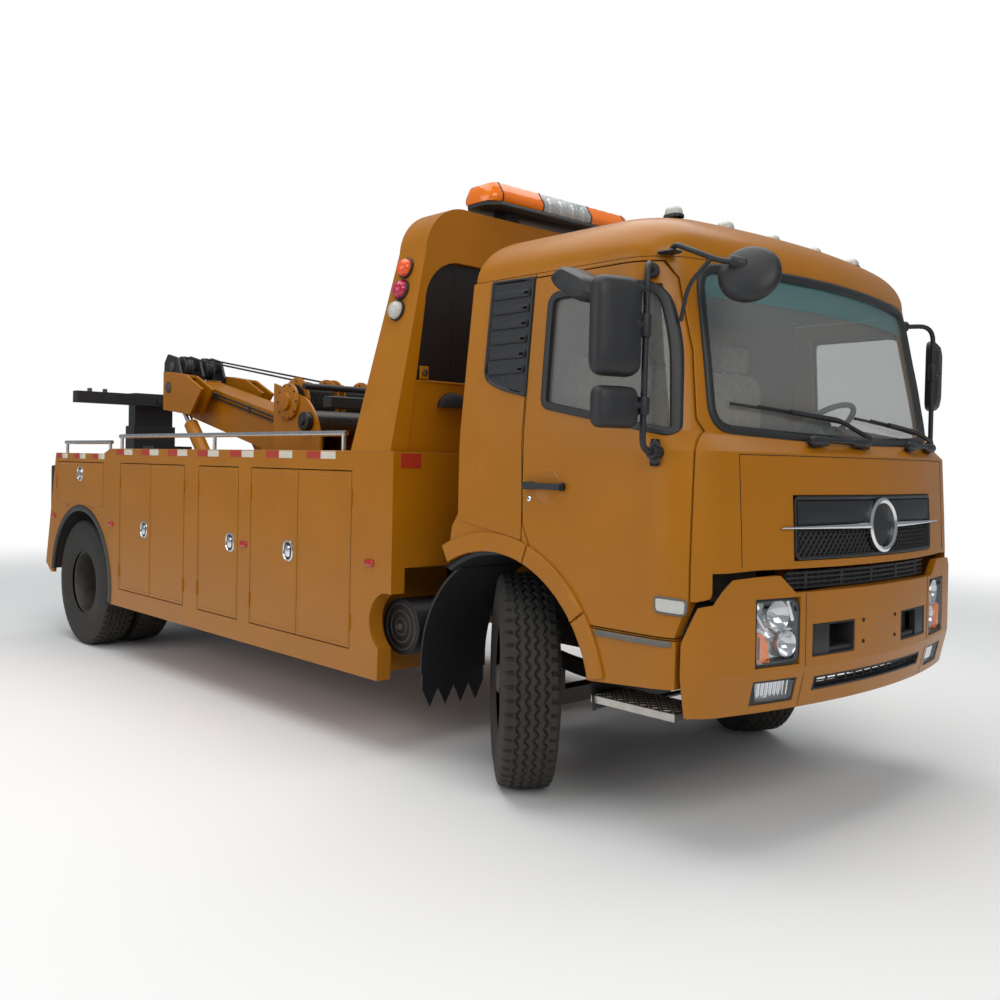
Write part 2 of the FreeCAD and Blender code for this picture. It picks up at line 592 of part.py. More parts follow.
# ---------------------------------------------------------------- tower, light bar and rails
def tower_outline():
    """Front view of the tower's outer edge: leaning legs and round shoulders."""
    half = d.body_half
    top = d.tower_top_z
    shoulder = d.tower_shoulder
    shoulder_z = top - 0.83 * shoulder
    leg_y = half - d.tower_lean * (shoulder_z - d.body_top_z)
    mid = (leg_y - 0.24 * shoulder, top - 0.27 * shoulder)
    top_y = leg_y - 1.02 * shoulder
    return leg_y, shoulder_z, mid, top_y


def build_tower():
    leg_y, shoulder_z, mid, top_y = tower_outline()
    half = d.body_half - 0.5
    base = d.body_top_z + 0.5
    top = d.tower_top_z
    outer = [(half, base), (leg_y, shoulder_z), ("arc", mid, (top_y, top)), (-top_y, top),
             ("arc", (-mid[0], mid[1]), (-leg_y, shoulder_z)), (-half, base), (half, base)]
    full = pad("tower_full", "yz", outer, "tower_front_x - tower_base_depth", "tower_front_x")
    leg = d.tower_leg
    head = d.tower_head_z

    def inside(z):
        return half - d.tower_lean * (z - base) - leg

    def portal_outline(low, gap):
        """The portal above a height, drawn in by a gap: sloping jambs and round corners."""
        corner = d.portal_corner
        spring_z = head - corner
        share = (low - base) / (spring_z - base)
        jamb = inside(spring_z)
        low_y = (1 - share) * (inside(base) - 60) + share * jamb - gap
        soffit = jamb - 1.1 * corner
        turn = 0.29 * corner
        return [(low_y, low), (jamb - gap, spring_z), ("arc", (jamb - turn - gap, head - turn - gap),
                                                       (soffit, head - gap)),
                (-soffit, head - gap), ("arc", (turn + gap - jamb, head - turn - gap), (gap - jamb, spring_z)),
                (-low_y, low), (low_y, low)]

    inner = portal_outline(base - 1, 0)
    portal = pad("tower_portal", "yz", inner, "tower_front_x - tower_base_depth - 5", "tower_front_x + 5")
    # the rear edge leans forward, from the base's depth to the top's
    taper = pad("tower_taper", "xz", [
        (d.tower_front_x - d.tower_base_depth - 10, base - 5), (d.tower_front_x - d.tower_base_depth, base - 5),
        (d.tower_front_x - d.tower_top_depth, top - 250), (d.tower_front_x - d.tower_top_depth, top + 5),
        (d.tower_front_x - d.tower_base_depth - 10, top + 5),
        (d.tower_front_x - d.tower_base_depth - 10, base - 5)], "-body_half - 5", "body_half + 5")
    frame = cut("tower_frame", full, portal, taper)
    low = inside(base) - 1
    high = inside(d.tower_sill_z) + 20
    sill = pad("tower_sill", "yz", [(low, base), (high, d.tower_sill_z), (-high, d.tower_sill_z),
                                    (-low, base), (low, base)], "tower_front_x - 36", "tower_front_x - 6")
    screen = pad("screen", "yz", portal_outline(d.tower_sill_z + d.pin_gap, d.pin_gap),
                 "tower_front_x - 36", "tower_front_x - 24")
    publish("light_tower", group("tower_piece", fuse("tower_solid", frame, sill), screen))


def build_light_bar():
    """Amber, clear and amber lamp housings on a base with two feet, narrower at both ends."""
    low = "tower_top_z + bar_foot"
    base = d.tower_top_z + d.bar_foot
    top = base + d.bar_height
    shoulder_z = base + 0.5 * d.bar_height
    front = d.bar_x + d.bar_depth / 2
    rear = d.bar_x - d.bar_depth / 2
    half = d.bar_length / 2
    taper = 60
    profile = [(rear, base + 15), (rear + 10, base), (front - 10, base), (front, base + 15),
               (front, shoulder_z), (front - 45, top), (rear + 45, top), (rear, shoulder_z), (rear, base + 15)]
    bar = pad("bar", "xz", profile, "-bar_length / 2", "bar_length / 2")
    ends = pad("bar_ends", "yz", [(-half, base - 1), (-half, shoulder_z), (taper - half, top + 1),
                                  (half - taper, top + 1), (half, shoulder_z), (half, base - 1),
                                  (-half, base - 1)],
               rear - 1, front + 1)
    plan = pad("bar_plan", "xy", [(front, taper - half), (front, half - taper), (front - taper, half),
                                  (rear + taper, half), (rear, half - taper), (rear, taper - half),
                                  (rear + taper, -half), (front - taper, -half), (front, taper - half)],
               base - 1, top + 1)
    feet = [block(f"bar_foot_{side}", ("bar_x - 60", "bar_x + 60"),
                  (f"{side} * 380 - 45", f"{side} * 380 + 45"),
                  ("tower_top_z + pin_gap", low)) for side in (-1, 1)]
    body = common("bar_body", common("bar_tapered", bar, ends), plan)
    publish("light_bar", fuse("bar_piece", body, *feet))


def build_hand_rails():
    """Tubes along both body tops, on posts."""
    y = "body_half - 85"
    parts = []
    for name, start, end, base, rise, posts in (
            ("rear", d.body_rear_x + 10, d.body_step_x - 170, "body_rear_top_z", 95, 2),
            ("main", d.body_step_x, d.body_front_x - 550, "body_top_z", 102, 3)):
        parts.append(rod(f"rail_{name}_tube", "x", "16", (y, f"{base} + {rise}"), (start, end)))
        for index in range(posts):
            x = start + 30 + index * (end - start - 60) / (posts - 1)
            parts.append(rod(f"rail_{name}_post_{index}", "z", "13", (x, y),
                             (f"{base} + pin_gap", f"{base} + {rise}")))
    publish("hand_rails", pair("hand_rails_piece", fuse("hand_rail_side", *parts)))


# ---------------------------------------------------------------- cab
def plan_wire(section, corner, inset=0.0, small=20):
    """Plan view at one height: bowed front, round corners, flat sides and rear."""
    z, front_x, half_width, rear_x, bow_radius = section
    bow = bow_radius - inset
    corner = max(corner - inset, small)
    front = front_x - inset
    half = half_width - inset
    rear = rear_x + inset
    centre_x = front - bow
    corner_x = centre_x + math.sqrt((bow - corner) ** 2 - (half - corner) ** 2)
    corner_c = V(corner_x, half - corner, z)
    outward = (corner_c - V(centre_x, 0, z)).normalize()
    touch = V(centre_x, 0, z) + outward * bow
    side = V(corner_x, half, z)
    middle = corner_c + (outward + V(0, 1, 0)).normalize() * corner

    def flip(p):
        return V(p.x, -p.y, p.z)

    rear_side = V(rear + small, half, z)
    rear_back = V(rear, half - small, z)
    rear_mid = V(rear + small * 0.29, half - small * 0.29, z)
    edges = [Part.Arc(flip(touch), V(front, 0, z), touch), Part.Arc(touch, middle, side),
             Part.LineSegment(side, rear_side), Part.Arc(rear_side, rear_mid, rear_back),
             Part.LineSegment(rear_back, flip(rear_back)),
             Part.Arc(flip(rear_back), flip(rear_mid), flip(rear_side)),
             Part.LineSegment(flip(rear_side), flip(side)), Part.Arc(flip(side), flip(middle), flip(touch))]
    return Part.Wire([edge.toShape() for edge in edges])


# sections of the cab's outer form: height, front centre x, half width, rear x, radius of the bow
CAB_SECTIONS = ((650, 1342, 1200, -315, 3600), (1188, 1331, 1200, -315, 3600), (1281, 1326, 1200, -300, 3600),
                (1345, 1323, 1200, -256, 3600), (1665, 1303, 1200, -256, 3600), (1748, 1192, 1198, -254, 4300),
                (2020, 1140, 1178, -246, 4300), (2480, 1046, 1136, -240, 4300))
# the same for the bumper, whose rear is cut off later
BUMPER_LEAN = ((585, -36, -8), (760, 0, 0), (1160, -4, -2))


def cab_form(inset):
    """The cab as one ruled solid, drawn in by an inset all round."""
    wires = [plan_wire(section, d.cab_corner, inset) for section in CAB_SECTIONS]
    last_z, last_front, last_half, last_rear, last_bow = CAB_SECTIONS[-1]
    steps = 5
    for step in range(1, steps + 1):
        angle = math.radians(80 * step / steps)
        shrink = d.roof_shoulder * (1 - math.cos(angle))
        z = last_z + (d.roof_rise - inset) * math.sin(angle)
        section = (z, last_front - 0.9 * shrink, last_half - 0.9 * shrink, last_rear + 0.25 * shrink, last_bow)
        wires.append(plan_wire(section, d.cab_corner, inset))
    return Part.makeLoft(wires, True, True)


def prism(points, plane, low, high):
    """A plain solid from an outline, for trimming the cab's form."""
    axis, direction = NORMAL[plane]
    wire = Part.Wire([edge.toShape() for edge in outline_edges(points)])
    face = Part.Face(wire)
    face.Placement = FreeCAD.Placement(direction * low, PLANE[plane])
    return face.extrude(direction * (high - low))


def box(x, y, z):
    return Part.makeBox(x[1] - x[0], y[1] - y[0], z[1] - z[0], V(x[0], y[0], z[0]))


def pillar_edge(gap):
    """The door's front edge against the corner panel and the pillar, from its foot to its top."""
    seam = d.door_seam_x - gap
    return [(seam - 42, d.skirt_top_z + 8), (seam, 1060), (seam - 8, 1665), (seam - 60, 1800),
            (seam - 106, 2080),
            (seam - 180, 2390), (seam - 226, d.cab_seam_z - 16)]


def door_outline(gap):
    """Side view of a cab door, drawn in by a gap; the lower rear corner follows the arch."""
    rear = d.door_rear_x + gap
    wheel_z = d.tyre_diameter / 2
    low = d.skirt_top_z + 8 + gap
    radius = d.cab_arch_radius + 35 + gap
    arch_x = math.sqrt(radius ** 2 - (low - wheel_z) ** 2)
    arch_z = wheel_z + math.sqrt(radius ** 2 - (rear + 80) ** 2)
    middle = math.radians(49)
    foot, *edge, (top_x, top_z) = pillar_edge(gap)
    return [(rear - 15, 1690), (rear, 1320), (rear + 80, arch_z),
            ("arc", (radius * math.cos(middle), wheel_z + radius * math.sin(middle)), (arch_x, low)),
            (foot[0], low), *edge, (top_x, top_z - gap), (rear - 10, top_z - gap), (rear - 15, 1690)]


def window_outline(inset):
    """Side window in a cab door."""
    front = d.door_seam_x - 102 - inset
    rear = d.door_rear_x + 115 + inset
    return [(rear, 1869 + inset), (front, 1741 + inset), (front - 44, 2118), (front - 121, 2364 - inset),
            (rear - 5, 2364 - inset), (rear, 1869 + inset)]


def screen_outline(inset):
    """Windscreen opening, front view: bowed sill and head with round corners."""
    low_y = 958 - inset
    high_y = 912 - inset
    sill = 1772 + inset
    head = d.cab_seam_z - 42 - inset
    corner = 95
    turn = 0.29 * corner
    return [(low_y, sill + corner), (high_y, head - corner),
            ("arc", (high_y - turn, head - turn), (high_y - corner, head)),
            ("arc", (0, head + 16), (corner - high_y, head)),
            ("arc", (turn - high_y, head - turn), (-high_y, head - corner)), (-low_y, sill + corner),
            ("arc", (turn - low_y, sill + turn), (corner - low_y, sill)),
            ("arc", (0, sill - 24), (low_y - corner, sill)),
            ("arc", (low_y - turn, sill + turn), (low_y, sill + corner))]


REAR_WALL_X = -120


def build_cab():
    wall = d.cab_wall
    gap = d.part_gap
    seam = d.cab_seam_z
    far = 3000
    wide = 1500
    outer = cab_form(0)
    inner = cab_form(wall)
    skin = outer.cut(inner)
    upper = box((-far, far), (-wide, wide), (seam + d.pin_gap / 2, far + 500))
    lower = box((-far, far), (-wide, wide), (d.skirt_top_z + 5, seam - d.pin_gap / 2))
    publish("cab_roof", shaped("cab_roof_piece", skin.common(upper)))

    # the skin ends above the wheel and behind it; the floor is a slab across the cab
    arch = Part.makeCylinder(d.cab_arch_radius, far, V(0, -wide, d.tyre_diameter / 2), V(0, 1, 0))
    walls = skin.common(lower).cut(arch)
    under = d.cab_floor_z - 40
    body = walls.cut(box((-far, -150), (-wide, wide), (0, 1165)))
    body = body.cut(box((-far, -150), (-1000, 1000), (0, under)))
    floor = inner.common(box((-far, far), (-wide, wide), (under, d.cab_floor_z)))

    # ahead of the doors: corner panels, front panel, cowl and pillars round the windscreen
    edge = pillar_edge(0)
    front_zone = prism(edge + [(edge[-1][0], seam + 5), (1600, seam + 5), (1600, 800), (edge[0][0], 800),
                               edge[0]], "xz", -wide, wide)
    front_zone = front_zone.fuse(box((600, 1600), (-d.pillar_y, d.pillar_y), (1700, seam + 5)))
    rest = body.cut(front_zone)
    front = body.common(front_zone).cut(prism(screen_outline(0), "yz", 700, 1500))
    grille_hole = box((1200, 1500), (-d.grille_half, d.grille_half), (d.grille_low_z, d.grille_top_z))
    front = front.cut(grille_hole.cut(cab_form(d.grille_depth)))
    # its lower edge clears the bumper's ears, also as the cab tilts
    panel = d.cab_panel_z
    front = front.cut(prism([(900, 800), (900, 1058), (1128, 1058), (1160, 1070), (1188, panel - 8),
                             (1230, panel),
                             (1600, panel), (1600, 800), (900, 800)], "xz", -wide, wide))
    front = front.cut(box((1000, 1600), (-d.corner_panel_y, d.corner_panel_y), (0, panel - 8)))
    publish("cab_front", shaped("cab_front_piece", front))

    door_hole = prism(door_outline(0), "xz", d.pillar_y, wide)
    door_zone = prism(door_outline(gap), "xz", d.pillar_y + d.pin_gap, wide)
    rest = rest.cut(door_hole).cut(door_hole.mirror(V(), V(0, 1, 0)))
    for side in (1, -1):
        # the floor stops short of each door's front edge, which swings inwards there
        low_y, high_y = sorted((side * d.pillar_y, side * wide))
        floor = floor.cut(box((800, 1600), (low_y, high_y), (0, far)))
    lugs = []
    reach = 230
    for y in (-342, 302):
        ear = box((d.pivot_x - reach, d.pivot_x), (y, y + 40), (d.pivot_z - 40, d.pivot_z + 40))
        ear = ear.fuse(Part.makeCylinder(40, 40, V(d.pivot_x, y, d.pivot_z), V(0, 1, 0)))
        ear = ear.fuse(box((d.pivot_x - reach, d.pivot_x - 140), (y, y + 40), (d.pivot_z - 40, under + 1)))
        ear = ear.cut(Part.makeCylinder(d.pivot_tube_radius + d.pin_gap, 60, V(d.pivot_x, y - 10, d.pivot_z),
                                        V(0, 1, 0)))
        lugs.append(ear)
    skirts = []
    skirt_front = d.door_seam_x - 42
    for side in (1, -1):
        low_y, high_y = sorted((side * d.pillar_y, side * wide))
        panel = skin.common(prism([(skirt_front, d.cab_skirt_z + 35), (skirt_front, d.skirt_top_z),
                                   (600, d.skirt_top_z), (600, d.cab_skirt_z),
                                   (skirt_front, d.cab_skirt_z + 35)],
                                  "xz", low_y, high_y)).cut(arch)
        inside_y = side * (d.cab_half - wall - 260)
        well = box((640, skirt_front - 120), sorted((side * (d.cab_half - wall + 2), inside_y)),
                   (d.skirt_top_z - 60, d.skirt_top_z - 20))
        post = box((640, 720), sorted((side * (d.cab_half - wall - gap), inside_y)),
                   (d.skirt_top_z - 60, d.cab_floor_z - 20)).cut(arch)
        skirts += [panel, well, post]
    # its panels stand a joint's width apart: rear wall, two sides, and the floor with what hangs from it
    shell = rest.multiFuse([floor] + lugs + skirts)
    shell = shell.cut(box((REAR_WALL_X, REAR_WALL_X + d.pin_gap), (-wide, wide), (0, far)))
    shell = shell.cut(box((-far, far), (-wide, wide), (d.cab_floor_z, d.cab_floor_z + d.pin_gap)))
    publish("cab_shell", shaped("cab_shell_piece", shell))

    window = prism(window_outline(0), "xz", d.pillar_y + 5, wide)
    door = walls.common(door_zone).cut(window)
    pane_form = cab_form(d.glass_inset).cut(cab_form(d.glass_inset + d.glass))
    pane = pane_form.common(prism(window_outline(d.pin_gap), "xz", d.pillar_y + 8, wide))
    screen = pane_form.common(prism(screen_outline(d.pin_gap), "yz", 700, 1500))
    publish_both("cab_door", shaped("cab_door_piece", door))
    publish_both("door_glass", shaped("door_glass_piece", pane))
    publish("windscreen", shaped("windscreen_piece", screen))

    recess = cab_form(4).cut(cab_form(d.grille_depth - d.pin_gap))
    grille = recess.common(box((1200, 1500), (d.pin_gap - d.grille_half, d.grille_half - d.pin_gap),
                               (d.grille_low_z + d.pin_gap, d.grille_top_z - d.pin_gap)))
    publish("front_grille", shaped("front_grille_piece", grille))


def build_interior():
    """Seats, dashboard and steering wheel, which show through the glass."""
    seats = []
    for name, y, width in (("driver", 560, 500), ("middle", 0, 420), ("passenger", -560, 500)):
        low, high = f"{y} - {width} / 2", f"{y} + {width} / 2"
        seats.append(fuse(f"seat_{name}",
                          block(f"seat_base_{name}", (180, 640), (f"{y} - 150", f"{y} + 150"),
                                ("cab_floor_z + pin_gap", "cab_floor_z + 170")),
                          block(f"seat_cushion_{name}", (150, 690), (low, high),
                                ("cab_floor_z + 170", "cab_floor_z + 320")),
                          block(f"seat_back_{name}", (60, 200), (low, high),
                                ("cab_floor_z + 200", "cab_floor_z + 860")),
                          block(f"seat_head_{name}", (70, 180), (f"{y} - 130", f"{y} + 130"),
                                ("cab_floor_z + 860", "cab_floor_z + 1020"))))
    publish("seats", group("seats_piece", *seats))
    desk = pad("desk", "xz", [(880, 1420), (860, 1640), (930, 1730), (1040, 1730), (1040, 1420), (880, 1420)],
               "-930", "930")
    stand = block("desk_stand", (930, 1030), (-500, 500), ("cab_floor_z + pin_gap", "1430"))
    column = rod("steering_column", "z", "22", ("0", "0"), ("0", "330"))
    column.Placement = FreeCAD.Placement(V(0, 0, 0), FreeCAD.Rotation(V(0, 1, 0), -38))
    bind(column, Placement__Base__x="880", Placement__Base__y="560", Placement__Base__z="1560")
    wheel = doc.addObject("Part::Torus", "steering_wheel")
    wheel.Placement = FreeCAD.Placement(V(), FreeCAD.Rotation(V(0, 1, 0), -38))
    bind(wheel, Radius1="215", Radius2="15", Placement__Base__x="880 - 320 * sin(38 deg)",
         Placement__Base__y="560", Placement__Base__z="1560 + 320 * cos(38 deg)")
    spoke = doc.addObject("Part::Box", "steering_spoke")
    spoke.Placement = FreeCAD.Placement(V(), FreeCAD.Rotation(V(0, 1, 0), -38))
    bind(spoke, Length="60", Width="430", Height="12",
         Placement__Base__x="880 - 314 * sin(38 deg) - 30 * cos(38 deg)", Placement__Base__y="560 - 215",
         Placement__Base__z="1560 + 314 * cos(38 deg) - 30 * sin(38 deg)")
    publish("dashboard", fuse("dashboard_piece", desk, stand, column, wheel, spoke))


def build_mirrors():
    """Door mirrors on tube arms, and the round front mirror on its bracket."""
    outside = cab_form(-d.pin_gap)

    def tube_arm(name):
        """A bent tube: an upright beside the mirrors and two arms that end on the door's skin."""
        top_arm = prism([(800, 1060), (836, 1050), (985, 1290), (955, 1290), (800, 1060)], "xy", 2408, 2438)
        low_arm = box((955, 985), (1150, 1300), (1640, 1670))
        return [block(f"{name}_tube", (955, 985), (1270, 1300), (1640, 2438)),
                shaped(f"{name}_top_arm", top_arm.cut(outside)),
                shaped(f"{name}_low_arm", low_arm.cut(outside)),
                block(f"{name}_stay", (955, 985), (1290, 1320), (2140, 2180))]

    tall = block("mirror_tall", (925, 995), (1305, 1530), (1950, 2350))
    publish("door_mirror_left", fuse("door_mirror_left_piece", tall, *tube_arm("mirror_left")))
    low = block("mirror_low", (925, 995), (1315, 1520), (1745, 1915))
    low_stay = block("mirror_low_stay", (955, 985), (1290, 1320), (1820, 1860))
    kerb = pad("mirror_kerb", "xz", [(520, 2395), (600, 2440), (760, 2360), (800, 2270), (700, 2265),
                                     (560, 2340), (520, 2395)], "1250", "1420")
    kerb_arm = block("mirror_kerb_arm", (640, 680), (1147, 1260), (2360, 2390))
    right = fuse("door_mirror_set", tall, low, low_stay, *tube_arm("mirror_right"))
    publish("door_mirror_right", mirror("door_mirror_right_piece",
                                        group("door_mirror_right_set", right,
                                              fuse("mirror_kerb_set", kerb, kerb_arm))))
    dome = doc.addObject("Part::Sphere", "front_mirror_dome")
    bind(dome, Radius="125", Placement__Base__x="1235", Placement__Base__y="-1090", Placement__Base__z="2330")
    lid = block("front_mirror_lid", (1090, 1400), (-1230, -950), (2180, 2300))
    head = cut("front_mirror_head", dome, lid)
    arm = rod("front_mirror_arm", "x", "12", ("-1090", "2390"), ("940", "1240"))
    post = rod("front_mirror_post", "z", "12", ("950", "-1090"), ("2379", "cab_seam_z + 20"))
    foot = box((860, 962), (-1102, -1030), (d.cab_seam_z + 4, d.cab_seam_z + 22)).cut(outside)
    publish("front_mirror", fuse("front_mirror_piece", head, arm, post, shaped("front_mirror_foot", foot)))


def bumper_form(inset):
    """The bumper's outer form, drawn in by an inset, before its rear is cut off."""
    wires = []
    for z, lean_front, lean_side in BUMPER_LEAN:
        section = (z, d.front_overhang + lean_front, d.bumper_half + lean_side, 0, d.bumper_bow)
        wires.append(plan_wire(section, d.bumper_corner, inset))
    return Part.makeLoft(wires, True, True)


SECTION_Y = 575
TOW_INNER_Y = 220
TOW_OUTER_Y = 530
TOW_LOW_Z = 800
TOW_HIGH_Z = 940


def build_bumper():
    """Wrap-round bumper shell with ears, a shelf, tow openings, grilles and lamp recesses."""
    low = d.bumper_low_z
    ear = d.bumper_ear_z
    wide = 1500
    shell = bumper_form(0).cut(bumper_form(d.bumper_wall))
    shell = shell.cut(box((-10, d.bumper_end_x), (-wide, wide), (0, 2000)))
    # the ears' rear edge follows the cab's lower corner, and the top falls between them
    shell = shell.cut(prism([(900, 890), (d.bumper_end_x, 890), (1143, 1037), (1180, 1048), (1210, ear - 8),
                             (1240, ear), (1290, ear), (1290, 1400), (900, 1400), (900, 890)], "xz", -wide,
                             wide))
    top = d.bumper_top_z
    shell = shell.cut(prism([(-640, top), (640, top), (735, ear), (735, 1300), (-735, 1300), (-735, ear),
                             (-640, top)], "yz", 1150, wide))
    # a shelf, a floor and two mounting blocks stand against the face's inner side
    behind = bumper_form(d.bumper_wall + d.pin_gap)
    inner_parts = [box((d.front_overhang - d.shelf_depth, wide), (-650, 650), (top - 14, top)),
                   box((d.bumper_end_x + 60, wide), (-wide, wide), (low + 20, low + 40))]
    for side in (1, -1):
        span = sorted((side * 345, side * 415))
        inner_parts.append(box((d.front_overhang - d.bumper_back, wide), span, (720, 790)))
    # joints between the middle and the two corner sections, and level with the tow openings' edges
    for side in (1, -1):
        joint = sorted((side * SECTION_Y, side * (SECTION_Y + d.pin_gap)))
        shell = shell.cut(box((0, wide), joint, (0, 2000)))
    for joint_z in (TOW_LOW_Z - d.pin_gap, TOW_HIGH_Z):
        shell = shell.cut(box((0, wide), (-SECTION_Y, SECTION_Y), (joint_z, joint_z + d.pin_gap)))
    solids = list(shell.Solids)
    for part in inner_parts:
        solids += behind.common(part).Solids
    shell = Part.makeCompound(solids)

    # openings in the face: name, inner y, outer y, low z, high z, and how far their filling is set back
    gap = d.pin_gap
    inserts = []
    for name, inner_y, outer_y, low_z, high_z, inset in (
            ("tow", TOW_INNER_Y, TOW_OUTER_Y, TOW_LOW_Z, TOW_HIGH_Z, None),
            ("headlamp", 610, 872, 778, 1062, 10),
            ("fog lamp", 615, 870, 620, 722, 10)):
        for side in (1, -1):
            span = sorted((side * inner_y, side * outer_y))
            shell = shell.cut(box((1150, wide), span, (low_z, high_z)))
            if inset:
                filling = box((1150, wide), sorted((side * (inner_y + gap), side * (outer_y - gap))),
                              (low_z + gap, high_z - gap))
                inserts.append(bumper_form(inset).cut(bumper_form(inset + 40)).common(filling))
    shell = shell.cut(box((1200, wide), (-500, 500), (650, 712)))
    inserts.append(bumper_form(14).cut(bumper_form(d.bumper_wall)).common(
        box((1200, wide), (gap - 500, 500 - gap), (650 + gap, 712 - gap))))
    publish("front_bumper", shaped("front_bumper_piece", shell))
    # the slotted grille stands on the shelf, below the cab's front panel
    back = d.front_overhang - d.shelf_depth
    slots = bumper_form(45).cut(bumper_form(65)).common(
        box((back + 4, wide), (-d.slot_grille_half, d.slot_grille_half), (top + gap, d.cab_panel_z - 14)))
    publish("bumper_inserts", shaped("bumper_inserts_piece", Part.makeCompound(inserts + slots.Solids)))


# ---------------------------------------------------------------- recovery boom
def boom_point(along, up):
    """A point in the boom's own axes: along it towards the rear, and up from its pivot."""
    slope = math.radians(d.boom_slope)
    return (d.boom_pivot_x - along * math.cos(slope) + up * math.sin(slope),
            d.boom_pivot_z + along * math.sin(slope) + up * math.cos(slope))


def build_boom_stand():
    """Two ears on the deck that carry the boom's pivot pin, and two for the lift cylinders."""
    y = "winch_y + winch_plate + part_gap"
    ear = pad("stand_ear", "xz", [
        (d.boom_pivot_x - 330, d.deck_z + 0.3), (d.boom_pivot_x - 70, d.boom_pivot_z + 20),
        ("arc", (d.boom_pivot_x, d.boom_pivot_z + 75), (d.boom_pivot_x + 70, d.boom_pivot_z + 20)),
        (d.boom_pivot_x + 330, d.deck_z + 0.3), (d.boom_pivot_x - 330, d.deck_z + 0.3)],
        y, f"{y} + 30")
    pin = rod("boom_pin", "y", "35", ("boom_pivot_x", "boom_pivot_z"),
              (f"-({y} + 20)", f"{y} + 20"))
    lugs = []
    for index, y_low in enumerate(("lift_y - barrel_radius - 32", "lift_y + barrel_radius + 8")):
        lugs.append(pad(f"lift_lug_{index}", "xz", [
            (d.lift_base_x - 130, d.deck_z + 0.3), (d.lift_base_x - 50, d.lift_base_z + 20),
            ("arc", (d.lift_base_x, d.lift_base_z + 60), (d.lift_base_x + 50, d.lift_base_z + 20)),
            (d.lift_base_x + 130, d.deck_z + 0.3), (d.lift_base_x - 130, d.deck_z + 0.3)],
            y_low, f"{y_low} + 24"))
    lift_pin = rod("lift_pin", "y", "28", ("lift_base_x", "lift_base_z"),
                   ("lift_y - barrel_radius - 20", "lift_y + barrel_radius + 20"))
    base = block("stand_base", ("boom_pivot_x - 340", "boom_pivot_x + 340"),
                 ("-(winch_y + winch_plate + part_gap + 60)", "winch_y + winch_plate + part_gap + 60"),
                 ("deck_z + pin_gap", "deck_z + 24"))
    lift_base = block("lift_base", ("lift_base_x - 160", "lift_base_x + 160"),
                      ("lift_y - barrel_radius - 40", "lift_y + barrel_radius + 40"),
                      ("deck_z + pin_gap", "deck_z + 24"))
    lift = fuse("lift_stand", *lugs, lift_pin, lift_base)
    both = fuse("stand", ear, mirror("stand_ear_other", ear), pin, base)
    publish("boom_stand", group("boom_stand_piece", both, lift, mirror("lift_stand_other", lift)))


def boom_box(low, high, half, bottom, top):
    """A square tube along the boom, as a plain solid: stations along, half width, bottom, top."""
    points = [boom_point(low, bottom), boom_point(high, bottom), boom_point(high, top), boom_point(low, top),
              boom_point(low, bottom)]
    return prism(points, "xz", -half, half)


BOOM_REAR = 2560
BOOM_BOTTOM = 40


